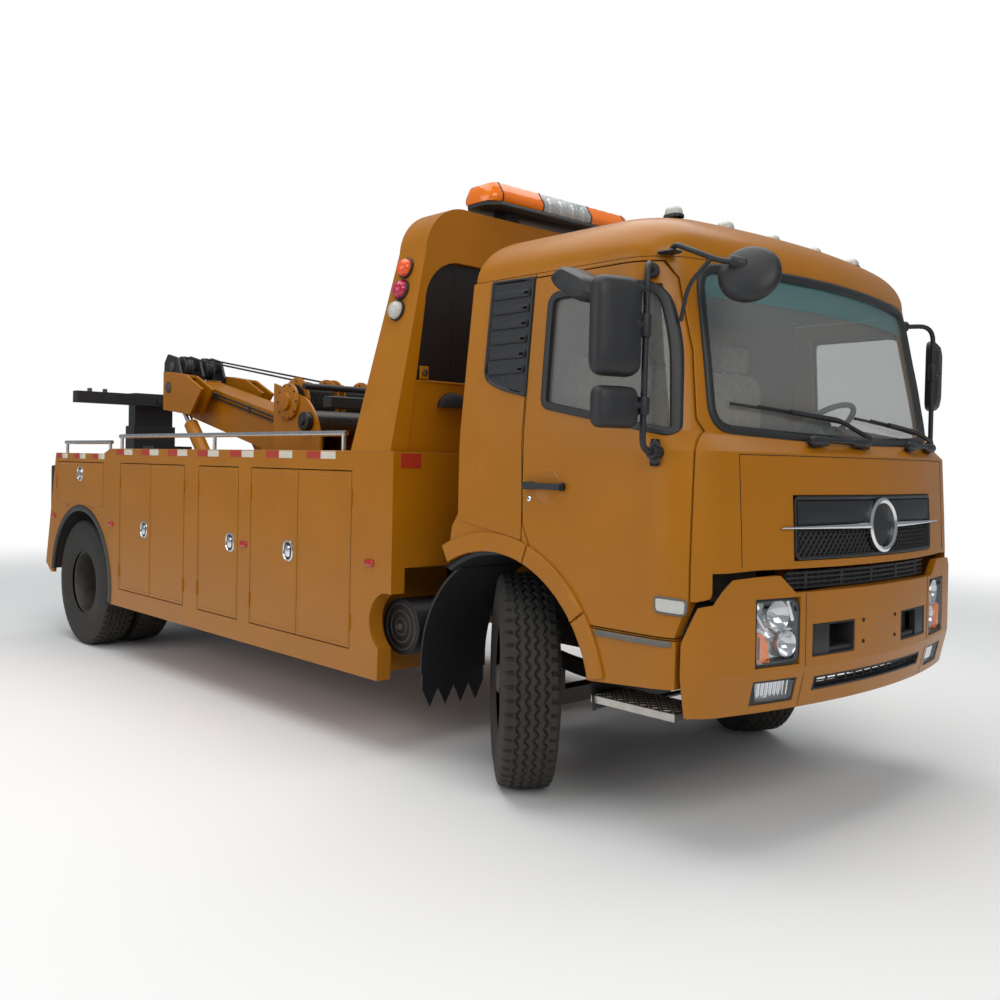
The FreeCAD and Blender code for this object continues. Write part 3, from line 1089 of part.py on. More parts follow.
def build_boom():
    """Outer boom with its winch frame and the yoke that the lift cylinders push."""
    bottom = BOOM_BOTTOM
    top = bottom + d.boom_height
    wall = d.boom_wall
    tube = boom_box(250, BOOM_REAR, d.boom_half, bottom, top)
    tube = tube.cut(boom_box(240, BOOM_REAR + 10, d.boom_half - wall, bottom + wall, top - wall))
    plates = []
    for side in (1, -1):
        low, high = sorted((side * d.winch_y, side * (d.winch_y + d.winch_plate)))
        outline = [(d.boom_pivot_x - 60, d.boom_pivot_z - 60), (d.boom_pivot_x - 560, 1560),
                   (d.boom_pivot_x - 560, 2185), (d.boom_pivot_x - 120, 2060),
                   ("arc", (d.boom_pivot_x + 60, 1860), (d.boom_pivot_x + 90, 1640)),
                   (d.boom_pivot_x + 70, d.boom_pivot_z - 20),
                   ("arc", (d.boom_pivot_x + 20, d.boom_pivot_z - 66),
                    (d.boom_pivot_x - 60, d.boom_pivot_z - 60))]
        plates.append(prism(outline, "xz", low, high))
    bridge = box((d.boom_pivot_x - 540, d.boom_pivot_x - 300), (-d.winch_y, d.winch_y),
                 (1600, 1625))
    saddle = boom_box(300, 560, d.winch_y + 1, bottom + 30, bottom + 60)
    front = box((d.boom_pivot_x - 120, d.boom_pivot_x + 40), (-d.winch_y, d.winch_y), (1500, 1530))
    yokes = []
    eye_x = d.lift_eye_x
    eye_z = d.lift_eye_z
    for y in (d.lift_y - 62, d.lift_y + 38):
        for side in (1, -1):
            low, high = sorted((side * y, side * (y + 24)))
            yokes.append(prism([(eye_x - 110, eye_z - 200), (eye_x - 110, eye_z + 150),
                                (eye_x + 330, eye_z + 95), (eye_x + 640, eye_z - 40),
                                (eye_x + 420, eye_z - 260), (eye_x - 110, eye_z - 200)],
                               "xz", low, high))
    for side in (1, -1):
        low, high = sorted((side * (d.boom_half - 5), side * (d.lift_y - 40)))
        yokes.append(prism([(eye_x + 120, eye_z - 210), (eye_x + 120, eye_z - 40), (eye_x + 150, eye_z - 40),
                            (eye_x + 150, eye_z - 215), (eye_x + 120, eye_z - 210)], "xz", low, high))
        low, high = sorted((side * (d.lift_y - 62), side * (d.lift_y + 62)))
        yokes.append(prism([(eye_x - 110, eye_z + 128), (eye_x - 110, eye_z + 150), (eye_x + 330, eye_z + 95),
                            (eye_x + 330, eye_z + 73), (eye_x - 110, eye_z + 128)], "xz", low, high))
    hole = Part.makeCylinder(35 + d.pin_gap, 1000, V(d.boom_pivot_x, -500, d.boom_pivot_z), V(0, 1, 0))
    boom = tube.multiFuse(plates + [bridge, saddle, front] + yokes).cut(hole)
    publish("boom", shaped("boom_piece", boom))

    drum_x = d.boom_pivot_x - 330
    span = 2 * (d.winch_y - d.pin_gap)
    plate_y = d.pin_gap - d.winch_y
    drums = []
    for y in (-165, 165):
        drums.append(Part.makeCylinder(d.drum_radius, 300, V(drum_x, y - 150, d.drum_z), V(0, 1, 0)))
    drums.append(Part.makeCylinder(28, span, V(drum_x, plate_y, d.drum_z), V(0, 1, 0)))
    motor = Part.makeCylinder(85, span, V(d.boom_pivot_x - 60, plate_y, 1880), V(0, 1, 0))
    winch = drums[0].multiFuse(drums[1:])
    publish("winches", shaped("winches_piece", Part.makeCompound([winch, motor])))


def build_boom_tip():
    """Inner boom that slides out at the rear, with the sheave head on its end."""
    bottom = BOOM_BOTTOM + (d.boom_height - d.tip_height) / 2
    tube = boom_box(900, BOOM_REAR + 260, d.tip_half, bottom, bottom + d.tip_height)
    tube = tube.cut(boom_box(890, BOOM_REAR + 180, d.tip_half - 12, bottom + 12, bottom + d.tip_height - 12))
    pads = boom_box(BOOM_REAR - 220, BOOM_REAR - 60, d.boom_half - d.boom_wall - 0.3,
                    BOOM_BOTTOM + d.boom_wall + 0.3, BOOM_BOTTOM + d.boom_height - d.boom_wall - 0.3)
    pads = pads.cut(boom_box(BOOM_REAR - 230, BOOM_REAR - 50, d.tip_half - 1, bottom + 1,
                             bottom + d.tip_height - 1))
    plates = []
    for y in (-232, -12, 208):
        outline = [boom_point(BOOM_REAR + 20, bottom + 60), boom_point(BOOM_REAR + 20, bottom + 330),
                   boom_point(BOOM_REAR + 130, bottom + 470), boom_point(BOOM_REAR + 330, bottom + 470),
                   boom_point(BOOM_REAR + 380, bottom + 380), boom_point(BOOM_REAR + 330, bottom + 60),
                   boom_point(BOOM_REAR + 20, bottom + 60)]
        plates.append(prism(outline, "xz", y, y + 24))
    centre = boom_point(BOOM_REAR + 200, bottom + 370)
    axle = Part.makeCylinder(26, 464, V(centre[0], -232, centre[1]), V(0, 1, 0))
    sheaves = [Part.makeCylinder(98, 60, V(centre[0], y - 30, centre[1]), V(0, 1, 0)) for y in (-110, 110)]
    web = boom_box(BOOM_REAR + 30, BOOM_REAR + 300, 232, bottom + 60, bottom + 90)
    tip = tube.multiFuse([pads, web, axle] + plates + sheaves)
    publish("boom_tip", shaped("boom_tip_piece", tip))


def cylinder_axis():
    """Unit vector from the lift cylinder's base pin to its rod eye, and its length."""
    run = V(d.lift_eye_x - d.lift_base_x, 0, d.lift_eye_z - d.lift_base_z)
    return V(run.x, 0, run.z).normalize(), run.Length


def build_lift_cylinders():
    axis, length = cylinder_axis()
    barrels = []
    rods = []
    barrel_length = length * 0.65
    for side in (1, -1):
        base = V(d.lift_base_x, side * d.lift_y, d.lift_base_z)
        barrel = Part.makeCylinder(d.barrel_radius, barrel_length - 40, base + axis * 40, axis)
        eye = Part.makeCylinder(54, 2 * d.barrel_radius, base - V(0, d.barrel_radius, 0), V(0, 1, 0))
        bore = Part.makeCylinder(d.rod_radius + d.pin_gap, barrel_length, base + axis * 120, axis)
        pin = Part.makeCylinder(28 + d.pin_gap, 300, base - V(0, 150, 0), V(0, 1, 0))
        barrels.append(barrel.fuse(eye).cut(bore).cut(pin))
        start = base + axis * (length * 0.35)
        shaft = Part.makeCylinder(d.rod_radius, length * 0.65, start, axis)
        tip = Part.makeCylinder(48, 64, base + axis * length - V(0, 32, 0), V(0, 1, 0))
        rods.append(shaft.fuse(tip))
    publish("lift_barrels", shaped("lift_barrels_piece", Part.makeCompound(barrels)))
    publish("lift_rods", shaped("lift_rods_piece", Part.makeCompound(rods)))


# ---------------------------------------------------------------- underlift
def build_underlift():
    """Mast on the chassis end, folding arm, its inner arm and the crossbar."""
    column = block("mast_column", ("mast_rear_x + 60", "mast_front_x"), ("-mast_half", "mast_half"),
                   ("360", "1700"))
    foot = block("mast_foot", ("mast_front_x", "rail_rear_x - pin_gap"),
                 ("-rail_outer_y", "rail_outer_y"), ("rail_top_z - rail_height", "rail_top_z"))
    ears = []
    for side in (-1, 1):
        span = (f"{side} * 130 - 40", f"{side} * 130 + 40")
        ears.append(block(f"mast_ear_{side}", ("fold_x", "mast_rear_x + 80"), span,
                          ("fold_z - 50", "fold_z + 50")))
        ears.append(rod(f"mast_ear_end_{side}", "y", "50", ("fold_x", "fold_z"), span))
    hole = rod("fold_hole", "y", "30 + pin_gap", ("fold_x", "fold_z"), ("-300", "300"))
    publish("mast", cut("mast_piece", fuse("mast_solid", column, foot, *ears), hole))

    sleeve = block("arm_sleeve", ("arm_rear_x", "arm_front_x"), ("-arm_half", "arm_half"),
                   ("arm_low_z", "arm_top_z"))
    bore = block("arm_bore", ("arm_rear_x + 20", "arm_front_x - 20"), ("-(arm_half - 20)", "arm_half - 20"),
                 ("arm_low_z + 160", "arm_top_z + 1"))
    tongue = block("arm_tongue", ("arm_front_x - 10", "fold_x + 30"),
                   ("-(130 - 40 - part_gap)", "130 - 40 - part_gap"), ("fold_z - 45", "fold_z + 45"))
    tongue_end = rod("arm_tongue_end", "y", "55", ("fold_x", "fold_z"),
                     ("-(130 - 40 - part_gap)", "130 - 40 - part_gap"))
    pin = rod("fold_pin", "y", "30", ("fold_x", "fold_z"), ("-190", "190"))
    publish("lift_arm", fuse("lift_arm_piece", cut("arm_tube", sleeve, bore), tongue, tongue_end, pin))

    inner = block("inner_arm", ("arm_rear_x + 20 + pin_gap", "arm_front_x - 20 - pin_gap"),
                  ("-(arm_half - 20 - pin_gap)", "arm_half - 20 - pin_gap"),
                  ("arm_low_z + 500", "crossbar_z + 75"))
    stub = rod("swivel_pin", "x", "40", ("0", "crossbar_z"),
               ("arm_front_x - 30", "arm_front_x + 30 + crossbar_size"))
    publish("arm_slide", fuse("arm_slide_piece", inner, stub))

    bar_end = "arm_front_x + 20 + crossbar_size"
    bar = block("crossbar_tube", ("arm_front_x + 20", bar_end), ("-crossbar_half", "crossbar_half"),
                ("crossbar_z - crossbar_size / 2", "crossbar_z + crossbar_size / 2"))
    swivel = rod("crossbar_boss", "x", "crossbar_size / 2 + 5", ("0", "crossbar_z"),
                 ("arm_front_x + 12", bar_end))
    swivel_hole = rod("crossbar_hole", "x", "40 + pin_gap", ("0", "crossbar_z"),
                      ("arm_front_x", "arm_front_x + 40 + crossbar_size"))
    publish("crossbar", cut("crossbar_piece", fuse("crossbar_solid", bar, swivel), swivel_hole))


# ---------------------------------------------------------------- make, check and write
build_chassis()
build_axles()
build_wheels()
build_engine()
build_side_units()
build_mudguards()
build_locker_body()
build_locker_doors()
build_deck()
build_tower()
build_light_bar()
build_hand_rails()
build_cab()
build_interior()
build_mirrors()
build_bumper()
build_boom_stand()
build_boom()
build_boom_tip()
build_lift_cylinders()
build_underlift()

doc.recompute()
for item in doc.Objects:
    if {"Invalid", "Error"} & set(item.State):
        raise RuntimeError(f"{item.Name} failed: {item.State}")
os.makedirs("parts", exist_ok=True)
for label, piece in nodes.items():
    shape = piece.Shape
    if shape.isNull() or not shape.isValid():
        raise RuntimeError(f"{label} has no valid shape")
    shape.exportStep(f"parts/{label}.step")
print(len(nodes), "sub-parts written")
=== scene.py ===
"""Tow truck: the finish, lamps, trim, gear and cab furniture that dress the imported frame."""
import json
import math

import bmesh
import bpy
from mathutils import Matrix, Vector
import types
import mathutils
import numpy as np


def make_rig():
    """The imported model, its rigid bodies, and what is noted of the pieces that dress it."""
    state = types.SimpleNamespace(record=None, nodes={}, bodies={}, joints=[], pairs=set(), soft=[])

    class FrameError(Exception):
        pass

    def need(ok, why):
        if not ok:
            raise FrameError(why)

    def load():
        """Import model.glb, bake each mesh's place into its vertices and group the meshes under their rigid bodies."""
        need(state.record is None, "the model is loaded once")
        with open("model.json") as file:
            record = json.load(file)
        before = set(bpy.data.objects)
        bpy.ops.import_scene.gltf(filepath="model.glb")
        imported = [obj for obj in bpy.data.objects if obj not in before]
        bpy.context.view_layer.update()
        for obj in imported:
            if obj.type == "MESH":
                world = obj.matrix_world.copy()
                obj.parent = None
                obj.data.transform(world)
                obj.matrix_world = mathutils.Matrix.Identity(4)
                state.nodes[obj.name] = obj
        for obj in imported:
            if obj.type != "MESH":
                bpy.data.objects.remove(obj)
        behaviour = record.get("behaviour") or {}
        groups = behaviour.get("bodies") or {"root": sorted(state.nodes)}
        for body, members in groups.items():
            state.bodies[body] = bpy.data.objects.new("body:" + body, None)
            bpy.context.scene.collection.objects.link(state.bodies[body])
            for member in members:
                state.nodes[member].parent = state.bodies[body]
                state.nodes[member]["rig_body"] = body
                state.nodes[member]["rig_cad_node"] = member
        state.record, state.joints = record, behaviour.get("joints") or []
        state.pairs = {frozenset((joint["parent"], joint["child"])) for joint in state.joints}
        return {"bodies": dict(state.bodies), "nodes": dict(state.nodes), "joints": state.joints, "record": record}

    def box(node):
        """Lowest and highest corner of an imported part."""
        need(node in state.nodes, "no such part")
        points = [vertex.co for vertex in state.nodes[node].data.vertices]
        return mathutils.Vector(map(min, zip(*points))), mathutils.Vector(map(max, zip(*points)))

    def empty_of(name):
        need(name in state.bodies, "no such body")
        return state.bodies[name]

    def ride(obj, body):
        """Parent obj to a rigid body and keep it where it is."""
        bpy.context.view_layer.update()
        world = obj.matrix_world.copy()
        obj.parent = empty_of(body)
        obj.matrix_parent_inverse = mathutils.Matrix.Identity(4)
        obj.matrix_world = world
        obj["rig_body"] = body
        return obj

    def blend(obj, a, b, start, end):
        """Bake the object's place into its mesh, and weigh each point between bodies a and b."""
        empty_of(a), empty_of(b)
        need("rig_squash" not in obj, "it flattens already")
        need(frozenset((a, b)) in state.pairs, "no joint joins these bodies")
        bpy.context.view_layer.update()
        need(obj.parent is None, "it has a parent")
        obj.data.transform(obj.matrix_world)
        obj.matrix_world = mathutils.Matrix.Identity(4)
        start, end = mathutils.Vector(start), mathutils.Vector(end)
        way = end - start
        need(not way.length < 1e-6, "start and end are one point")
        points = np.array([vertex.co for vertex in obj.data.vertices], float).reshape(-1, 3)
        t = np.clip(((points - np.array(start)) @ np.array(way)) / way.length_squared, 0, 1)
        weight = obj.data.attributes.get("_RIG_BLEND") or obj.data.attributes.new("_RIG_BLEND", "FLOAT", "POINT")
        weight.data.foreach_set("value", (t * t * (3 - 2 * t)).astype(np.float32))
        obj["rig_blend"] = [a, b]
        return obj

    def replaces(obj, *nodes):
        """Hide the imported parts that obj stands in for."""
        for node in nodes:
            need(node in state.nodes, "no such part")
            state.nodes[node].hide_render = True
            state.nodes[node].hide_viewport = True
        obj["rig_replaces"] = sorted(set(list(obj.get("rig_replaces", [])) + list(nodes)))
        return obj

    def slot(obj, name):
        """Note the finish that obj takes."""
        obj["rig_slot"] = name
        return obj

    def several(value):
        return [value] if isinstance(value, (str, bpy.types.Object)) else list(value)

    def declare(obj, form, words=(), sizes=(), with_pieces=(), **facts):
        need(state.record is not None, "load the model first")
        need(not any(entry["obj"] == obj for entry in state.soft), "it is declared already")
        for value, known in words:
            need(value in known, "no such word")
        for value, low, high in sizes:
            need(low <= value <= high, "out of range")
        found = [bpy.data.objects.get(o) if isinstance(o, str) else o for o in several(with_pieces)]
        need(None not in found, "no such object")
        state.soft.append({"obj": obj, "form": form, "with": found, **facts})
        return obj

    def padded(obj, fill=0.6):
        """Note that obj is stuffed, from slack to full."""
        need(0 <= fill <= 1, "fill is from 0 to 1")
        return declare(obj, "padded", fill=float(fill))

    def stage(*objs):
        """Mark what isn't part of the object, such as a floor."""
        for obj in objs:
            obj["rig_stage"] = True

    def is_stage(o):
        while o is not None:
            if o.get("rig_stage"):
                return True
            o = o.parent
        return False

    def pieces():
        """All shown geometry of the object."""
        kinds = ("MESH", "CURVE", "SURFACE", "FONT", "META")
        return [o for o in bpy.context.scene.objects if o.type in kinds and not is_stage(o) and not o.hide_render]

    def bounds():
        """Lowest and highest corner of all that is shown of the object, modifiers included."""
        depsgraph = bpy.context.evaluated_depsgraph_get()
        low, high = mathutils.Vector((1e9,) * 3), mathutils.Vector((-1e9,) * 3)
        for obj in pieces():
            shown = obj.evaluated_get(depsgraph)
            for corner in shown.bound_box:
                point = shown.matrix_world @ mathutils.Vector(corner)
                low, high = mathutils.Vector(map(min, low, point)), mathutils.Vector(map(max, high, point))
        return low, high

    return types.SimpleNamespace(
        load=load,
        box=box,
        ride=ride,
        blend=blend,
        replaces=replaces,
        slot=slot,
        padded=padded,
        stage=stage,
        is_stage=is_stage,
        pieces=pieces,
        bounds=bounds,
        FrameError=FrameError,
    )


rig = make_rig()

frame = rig.load()
CAD_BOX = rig.bounds()
NODES = frame["nodes"]
TOWER_TO_AXLE = 0.74
AXLE_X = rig.box("light_tower")[1].x + TOWER_TO_AXLE


def at(x, y, z):
    """A point given from the front axle's centre on the ground, x forward, y left, z up."""
    return Vector((AXLE_X + x, y, z))


def add_node(tree, kind, values=None, wires=None, **options):
    """Adds a shader node with its options, its sockets' values and what is wired to its sockets."""
    made = tree.nodes.new("ShaderNode" + kind)
    for key, value in options.items():
        setattr(made, key, value)
    for key, value in (values or {}).items():
        made.inputs[key].default_value = value
    for key, source in (wires or {}).items():
        tree.links.new(source, made.inputs[key])
    return made


# ---------------------------------------------------------------- camera
CAMERA_AT = (3.546, -4.519, 1.599)
CAMERA_YAW = math.radians(48.24)
CAMERA_PITCH = math.radians(-1.36)
CAMERA_ROLL = math.radians(1.178)
SENSOR_MM = 36.0
LENS_MM = 36.666
LENS_SHIFT = (0.03173, -0.01327)
FAR_CLIP = 200


def make_camera():
    data = bpy.data.cameras.new("camera")
    camera = bpy.data.objects.new("camera", data)
    bpy.context.scene.collection.objects.link(camera)
    data.sensor_width = SENSOR_MM
    data.lens = LENS_MM
    data.shift_x, data.shift_y = LENS_SHIFT
    data.clip_end = FAR_CLIP
    forward = Vector((-math.sin(CAMERA_YAW) * math.cos(CAMERA_PITCH),
                      math.cos(CAMERA_YAW) * math.cos(CAMERA_PITCH), math.sin(CAMERA_PITCH)))
    right = forward.cross(Vector((0, 0, 1))).normalized()
    up = right.cross(forward)
    right, up = (math.cos(CAMERA_ROLL) * right + math.sin(CAMERA_ROLL) * up,
                 math.cos(CAMERA_ROLL) * up - math.sin(CAMERA_ROLL) * right)
    turn = Matrix((right, up, -forward)).transposed()
    camera.matrix_world = Matrix.Translation(at(*CAMERA_AT)) @ turn.to_4x4()
    bpy.context.scene.camera = camera


# ---------------------------------------------------------------- stage
WORLD_FILL = 0.30
FLOOR_SIZE = 60
FLOOR_GREY = 0.86
FADE_FROM = 5.5
FADE_TO = 13.0
# name, place, aim, size, power, tint
LAMPS = (("sky_panel", (0.5, 0, 9.5), (0, 0, 0), (13, 9), 900, (1, 0.985, 0.96)),
         ("front_panel", (12, -5.0, 7.5), (1.5, 0, 1.2), (8, 6), 560, (1, 0.975, 0.93)),
         ("side_panel", (-2, -13, 5.0), (0, 0, 1.2), (12, 6), 430, (0.96, 0.98, 1)))


def make_world():
    """White where the camera or a clear pane looks, a soft bluish fill on the truck."""
    world = bpy.data.worlds.new("studio")
    bpy.context.scene.world = world
    world.use_nodes = True
    tree = world.node_tree
    tree.nodes.clear()
    seen = add_node(tree, "Background", {"Color": (1, 1, 1, 1), "Strength": 1.0})
    fill = add_node(tree, "Background", {"Color": (0.86, 0.93, 1.0, 1), "Strength": WORLD_FILL})
    ray = add_node(tree, "LightPath").outputs
    either = add_node(tree, "Math", wires={0: ray["Is Camera Ray"], 1: ray["Is Transmission Ray"]},
                      operation="MAXIMUM")
    mix = add_node(tree, "MixShader", wires={0: either.outputs[0], 1: fill.outputs[0], 2: seen.outputs[0]})
    add_node(tree, "OutputWorld", wires={"Surface": mix.outputs[0]})


def make_floor():
    """A pale floor that keeps the shadow and fades to white away from the truck."""
    bpy.ops.mesh.primitive_plane_add(size=FLOOR_SIZE, location=(0, 0, 0))
    floor = bpy.context.object
    floor.name = "floor"
    data = bpy.data.materials.new("floor_pale")
    data.use_nodes = True
    tree = data.node_tree
    shader = tree.nodes["Principled BSDF"]
    shader.inputs["Base Color"].default_value = (FLOOR_GREY, FLOOR_GREY, FLOOR_GREY, 1)
    shader.inputs["Roughness"].default_value = 0.9
    place = add_node(tree, "NewGeometry").outputs["Position"]
    reach = add_node(tree, "VectorMath", wires={0: place}, operation="LENGTH")
    fade = add_node(tree, "MapRange", {"From Min": FADE_FROM, "From Max": FADE_TO},
                    {"Value": reach.outputs["Value"]}, interpolation_type="SMOOTHSTEP")
    ray = add_node(tree, "LightPath").outputs
    amount = add_node(tree, "Math", wires={0: fade.outputs[0], 1: ray["Is Camera Ray"]},
                      operation="MULTIPLY")
    white = add_node(tree, "Emission", {"Strength": 1.0})
    blend = add_node(tree, "MixShader", wires={0: amount.outputs[0], 1: shader.outputs[0],
                                               2: white.outputs[0]})
    tree.links.new(blend.outputs[0], tree.nodes["Material Output"].inputs["Surface"])
    floor.data.materials.append(data)
    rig.stage(floor)


def make_lamps():
    for name, place, aim, size, power, tint in LAMPS:
        light = bpy.data.lights.new(name, "AREA")
        light.shape = "RECTANGLE"
        light.size, light.size_y = size
        light.energy = power
        light.color = tint
        lamp = bpy.data.objects.new(name, light)
        bpy.context.scene.collection.objects.link(lamp)
        lamp.location = place
        lamp.rotation_euler = (Vector(aim) - Vector(place)).to_track_quat("-Z", "Y").to_euler()


bpy.context.scene.view_settings.view_transform = "Standard"
make_camera()
make_world()
make_floor()
make_lamps()


# ---------------------------------------------------------------- materials
COAT_ROUGH = 0.08
GRAIN_DEPTH = 0.002
DIRT_TOP = 1.3
DIRT_FOOT = 0.35


def srgb(r, g, b):
    """Linear colour of a display colour given in 0 to 255."""
    def linear(c):
        c /= 255
        return c / 12.92 if c <= 0.04045 else ((c + 0.055) / 1.055) ** 2.4
    return (linear(r), linear(g), linear(b), 1.0)


def material(name, colour, rough=0.5, metallic=0.0, vary=0.06, scale=8.0, bump=0.0, bump_scale=60.0,
             coat=0.0, edge=0.0, dirt=None, dirt_amount=0.0, rough_vary=0.12, **extra):
    """A procedural finish: mottled colour, uneven roughness, fine bump, softened edges and low dirt."""
    data = bpy.data.materials.new(name)
    data.use_nodes = True
    tree = data.node_tree
    shader = tree.nodes["Principled BSDF"]
    place = add_node(tree, "TexCoord").outputs["Object"]
    blotch = add_node(tree, "TexNoise", {"Scale": scale, "Detail": 6}, {"Vector": place})
    ramp = add_node(tree, "ValToRGB", wires={"Fac": blotch.outputs["Fac"]})
    for stop, position, gain in zip(ramp.color_ramp.elements, (0.3, 0.7), (1 - vary, 1 + vary)):
        stop.position = position
        stop.color = [min(1, c * gain) for c in colour[:3]] + [1]
    tint = ramp.outputs["Color"]
    if dirt:
        height = add_node(tree, "SeparateXYZ", wires={0: place})
        span = add_node(tree, "MapRange", {"From Min": DIRT_TOP, "From Max": DIRT_FOOT},
                        {"Value": height.outputs["Z"]})
        grime = add_node(tree, "TexNoise", {"Scale": 5, "Detail": 8, "Roughness": 0.7}, {"Vector": place})
        amount = add_node(tree, "Math", wires={0: grime.outputs["Fac"], 1: span.outputs[0]},
                          operation="MULTIPLY")
        weight = add_node(tree, "Math", {1: dirt_amount}, {0: amount.outputs[0]}, operation="MULTIPLY")
        mix = add_node(tree, "Mix", {7: dirt}, {0: weight.outputs[0], 6: tint}, data_type="RGBA")
        tint = mix.outputs[2]
    tree.links.new(tint, shader.inputs["Base Color"])
    patch = add_node(tree, "MapRange", {"To Min": max(0.02, rough - rough_vary / 2),
                                        "To Max": min(1, rough + rough_vary / 2)},
                     {"Value": blotch.outputs["Fac"]})
    tree.links.new(patch.outputs[0], shader.inputs["Roughness"])
    shader.inputs["Metallic"].default_value = metallic
    shader.inputs["Coat Weight"].default_value = coat
    shader.inputs["Coat Roughness"].default_value = COAT_ROUGH
    normal = None
    if edge:
        normal = add_node(tree, "Bevel", {"Radius": edge}, samples=4).outputs["Normal"]
    if bump:
        grain = add_node(tree, "TexNoise", {"Scale": bump_scale, "Detail": 4}, {"Vector": place})
        wires = {"Height": grain.outputs["Fac"]}
        if normal:
            wires["Normal"] = normal
        normal = add_node(tree, "Bump", {"Strength": bump, "Distance": GRAIN_DEPTH}, wires).outputs["Normal"]
    if normal:
        tree.links.new(normal, shader.inputs["Normal"])
    for key, value in extra.items():
        shader.inputs[key.replace("_", " ")].default_value = value
    return data


DUST = srgb(110, 96, 74)
PAINT = material("paint_yellow", srgb(162, 101, 8), 0.34, vary=0.05, scale=3, coat=0.05, edge=0.006,
                 dirt=DUST, dirt_amount=0.22, Specular_IOR_Level=0.28)
BLACK = material("chassis_black", srgb(28, 28, 30), 0.5, vary=0.2, scale=7, bump=0.12, edge=0.004,
                 dirt=DUST, dirt_amount=0.4)
PLASTIC = material("plastic_black", srgb(26, 27, 30), 0.5, vary=0.1, bump=0.25, bump_scale=220, edge=0.004)
RUBBER = material("tyre_rubber", srgb(23, 23, 23), 0.75, vary=0.15, scale=9, bump=0.15, bump_scale=90,
                  dirt=DUST, dirt_amount=0.2)
STEEL = material("wheel_steel", srgb(84, 82, 80), 0.5, metallic=0.55, vary=0.3, scale=12, bump=0.1,
                 edge=0.003, dirt=DUST, dirt_amount=0.5)
BRIGHT = material("rail_steel", srgb(200, 200, 200), 0.28, metallic=1.0, vary=0.05, scale=20)
CHROME = material("rod_chrome", srgb(225, 226, 228), 0.1, metallic=1.0, vary=0.03, rough_vary=0.04)
LENS = material("lens_clear", srgb(215, 220, 222), 0.12, vary=0.03, Transmission_Weight=0.55)
AMBER = material("lens_amber", srgb(236, 118, 8), 0.15, vary=0.04, coat=0.4)
ORANGE = material("lens_orange", srgb(232, 84, 20), 0.18, vary=0.04, coat=0.4)
MAGENTA = material("lens_magenta", srgb(176, 22, 62), 0.18, vary=0.04, coat=0.4)
MARKER = material("lens_red", srgb(168, 30, 20), 0.2, vary=0.05, coat=0.3)
RED = material("strip_red", srgb(166, 44, 26), 0.45, vary=0.06, scale=40)
WHITE = material("strip_white", srgb(206, 198, 180), 0.45, vary=0.04, scale=40)
# Black of the dash displays, and of the sheet of painted shade in the tower's opening.
BLACK_SCREENS_AND_PAINTED_SHADE = material("screen_black", srgb(14, 13, 16), 0.5, vary=0.1, scale=20)
SEAM = material("seam_dark", srgb(16, 14, 12), 0.8, vary=0.1, scale=20)
MILKY = material("lens_milky", srgb(186, 184, 178), 0.25, vary=0.05, scale=40, coat=0.3)
MESH = material("mesh_black", srgb(17, 17, 19), 0.6, vary=0.15, scale=30)
CLOTH = material("seat_cloth", srgb(196, 174, 144), 0.9, vary=0.15, scale=30, bump=0.5, bump_scale=500,
                 Sheen_Weight=0.3)
TRIM = material("trim_grey", srgb(104, 101, 95), 0.7, vary=0.1, bump=0.3, bump_scale=250, edge=0.004)
TREAD = material("tread_alloy", srgb(176, 172, 164), 0.42, metallic=0.75, vary=0.15, scale=16)
ROPE = material("rope_steel", srgb(74, 72, 70), 0.45, metallic=0.7, vary=0.3, scale=60, bump=0.4)
HOOK = material("hook_steel", srgb(92, 88, 84), 0.45, metallic=0.6, vary=0.25, scale=25, bump=0.2)
REFLECTOR = material("lamp_reflector", srgb(214, 216, 220), 0.16, metallic=1.0, vary=0.05, scale=30,
                     bump=0.5, bump_scale=45)
GLASSY = material("mirror_glass", srgb(150, 160, 172), 0.03, metallic=1.0, vary=0.02, rough_vary=0.01)


def glass_material(name, tint, alpha):
    """Thin panes: mostly see-through, with a mirror-like gloss."""
    data = bpy.data.materials.new(name)
    data.use_nodes = True
    shader = data.node_tree.nodes["Principled BSDF"]
    shader.inputs["Base Color"].default_value = tint
    shader.inputs["Roughness"].default_value = 0.02
    shader.inputs["Alpha"].default_value = alpha
    shader.inputs["Specular IOR Level"].default_value = 0.8
    data.blend_method = "BLEND"
    return data


GLASS = glass_material("pane_glass", srgb(112, 115, 111), 0.34)
SCREEN_GLASS = glass_material("screen_glass", srgb(158, 163, 162), 0.24)
TINT = glass_material("tint_band", srgb(70, 150, 152), 0.3)
COVER = glass_material("lamp_cover", srgb(214, 220, 224), 0.14)

SLOT_FINISH = {"paint": PAINT, "chassis_black": BLACK, "plastic_black": PLASTIC, "tyre": RUBBER,
               "wheel_steel": STEEL, "rail_steel": BRIGHT, "rod_chrome": CHROME, "glass": GLASS,
               "lens": LENS, "amber": AMBER, "screen_black": BLACK_SCREENS_AND_PAINTED_SHADE, "cloth_grey": CLOTH,
               "trim_grey": TRIM, "rope_steel": ROPE}


def dress_frame():
    """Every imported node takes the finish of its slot."""
    slots = {}
    for entry in frame["record"]["subparts"]:
        slots[entry["node"]] = entry["material_slot"]
    for name, node in NODES.items():
        finish = SLOT_FINISH[slots.get(name, "paint")]
        if name == "windscreen":
            finish = SCREEN_GLASS
        if node.data.materials:
            for index in range(len(node.data.materials)):
                node.data.materials[index] = finish
        else:
            node.data.materials.append(finish)


dress_frame()


# ---------------------------------------------------------------- making shapes
# Shapes are drawn in the axle frame: x forward from the front axle, y left, z up, in metres.
WELD = 0.00002
SKIN_SPAN = 0.1
SKIN_STEP = 0.09
LEAST_CHAMFER = 0.0002
BEND_STEPS = 6


def square_to(axis):
    """A direction square to an axis, level unless the axis is upright."""
    side = Vector((0, 0, 1)) if abs(axis.z) < 0.9 else Vector((1, 0, 0))
    return axis.cross(side).normalized()


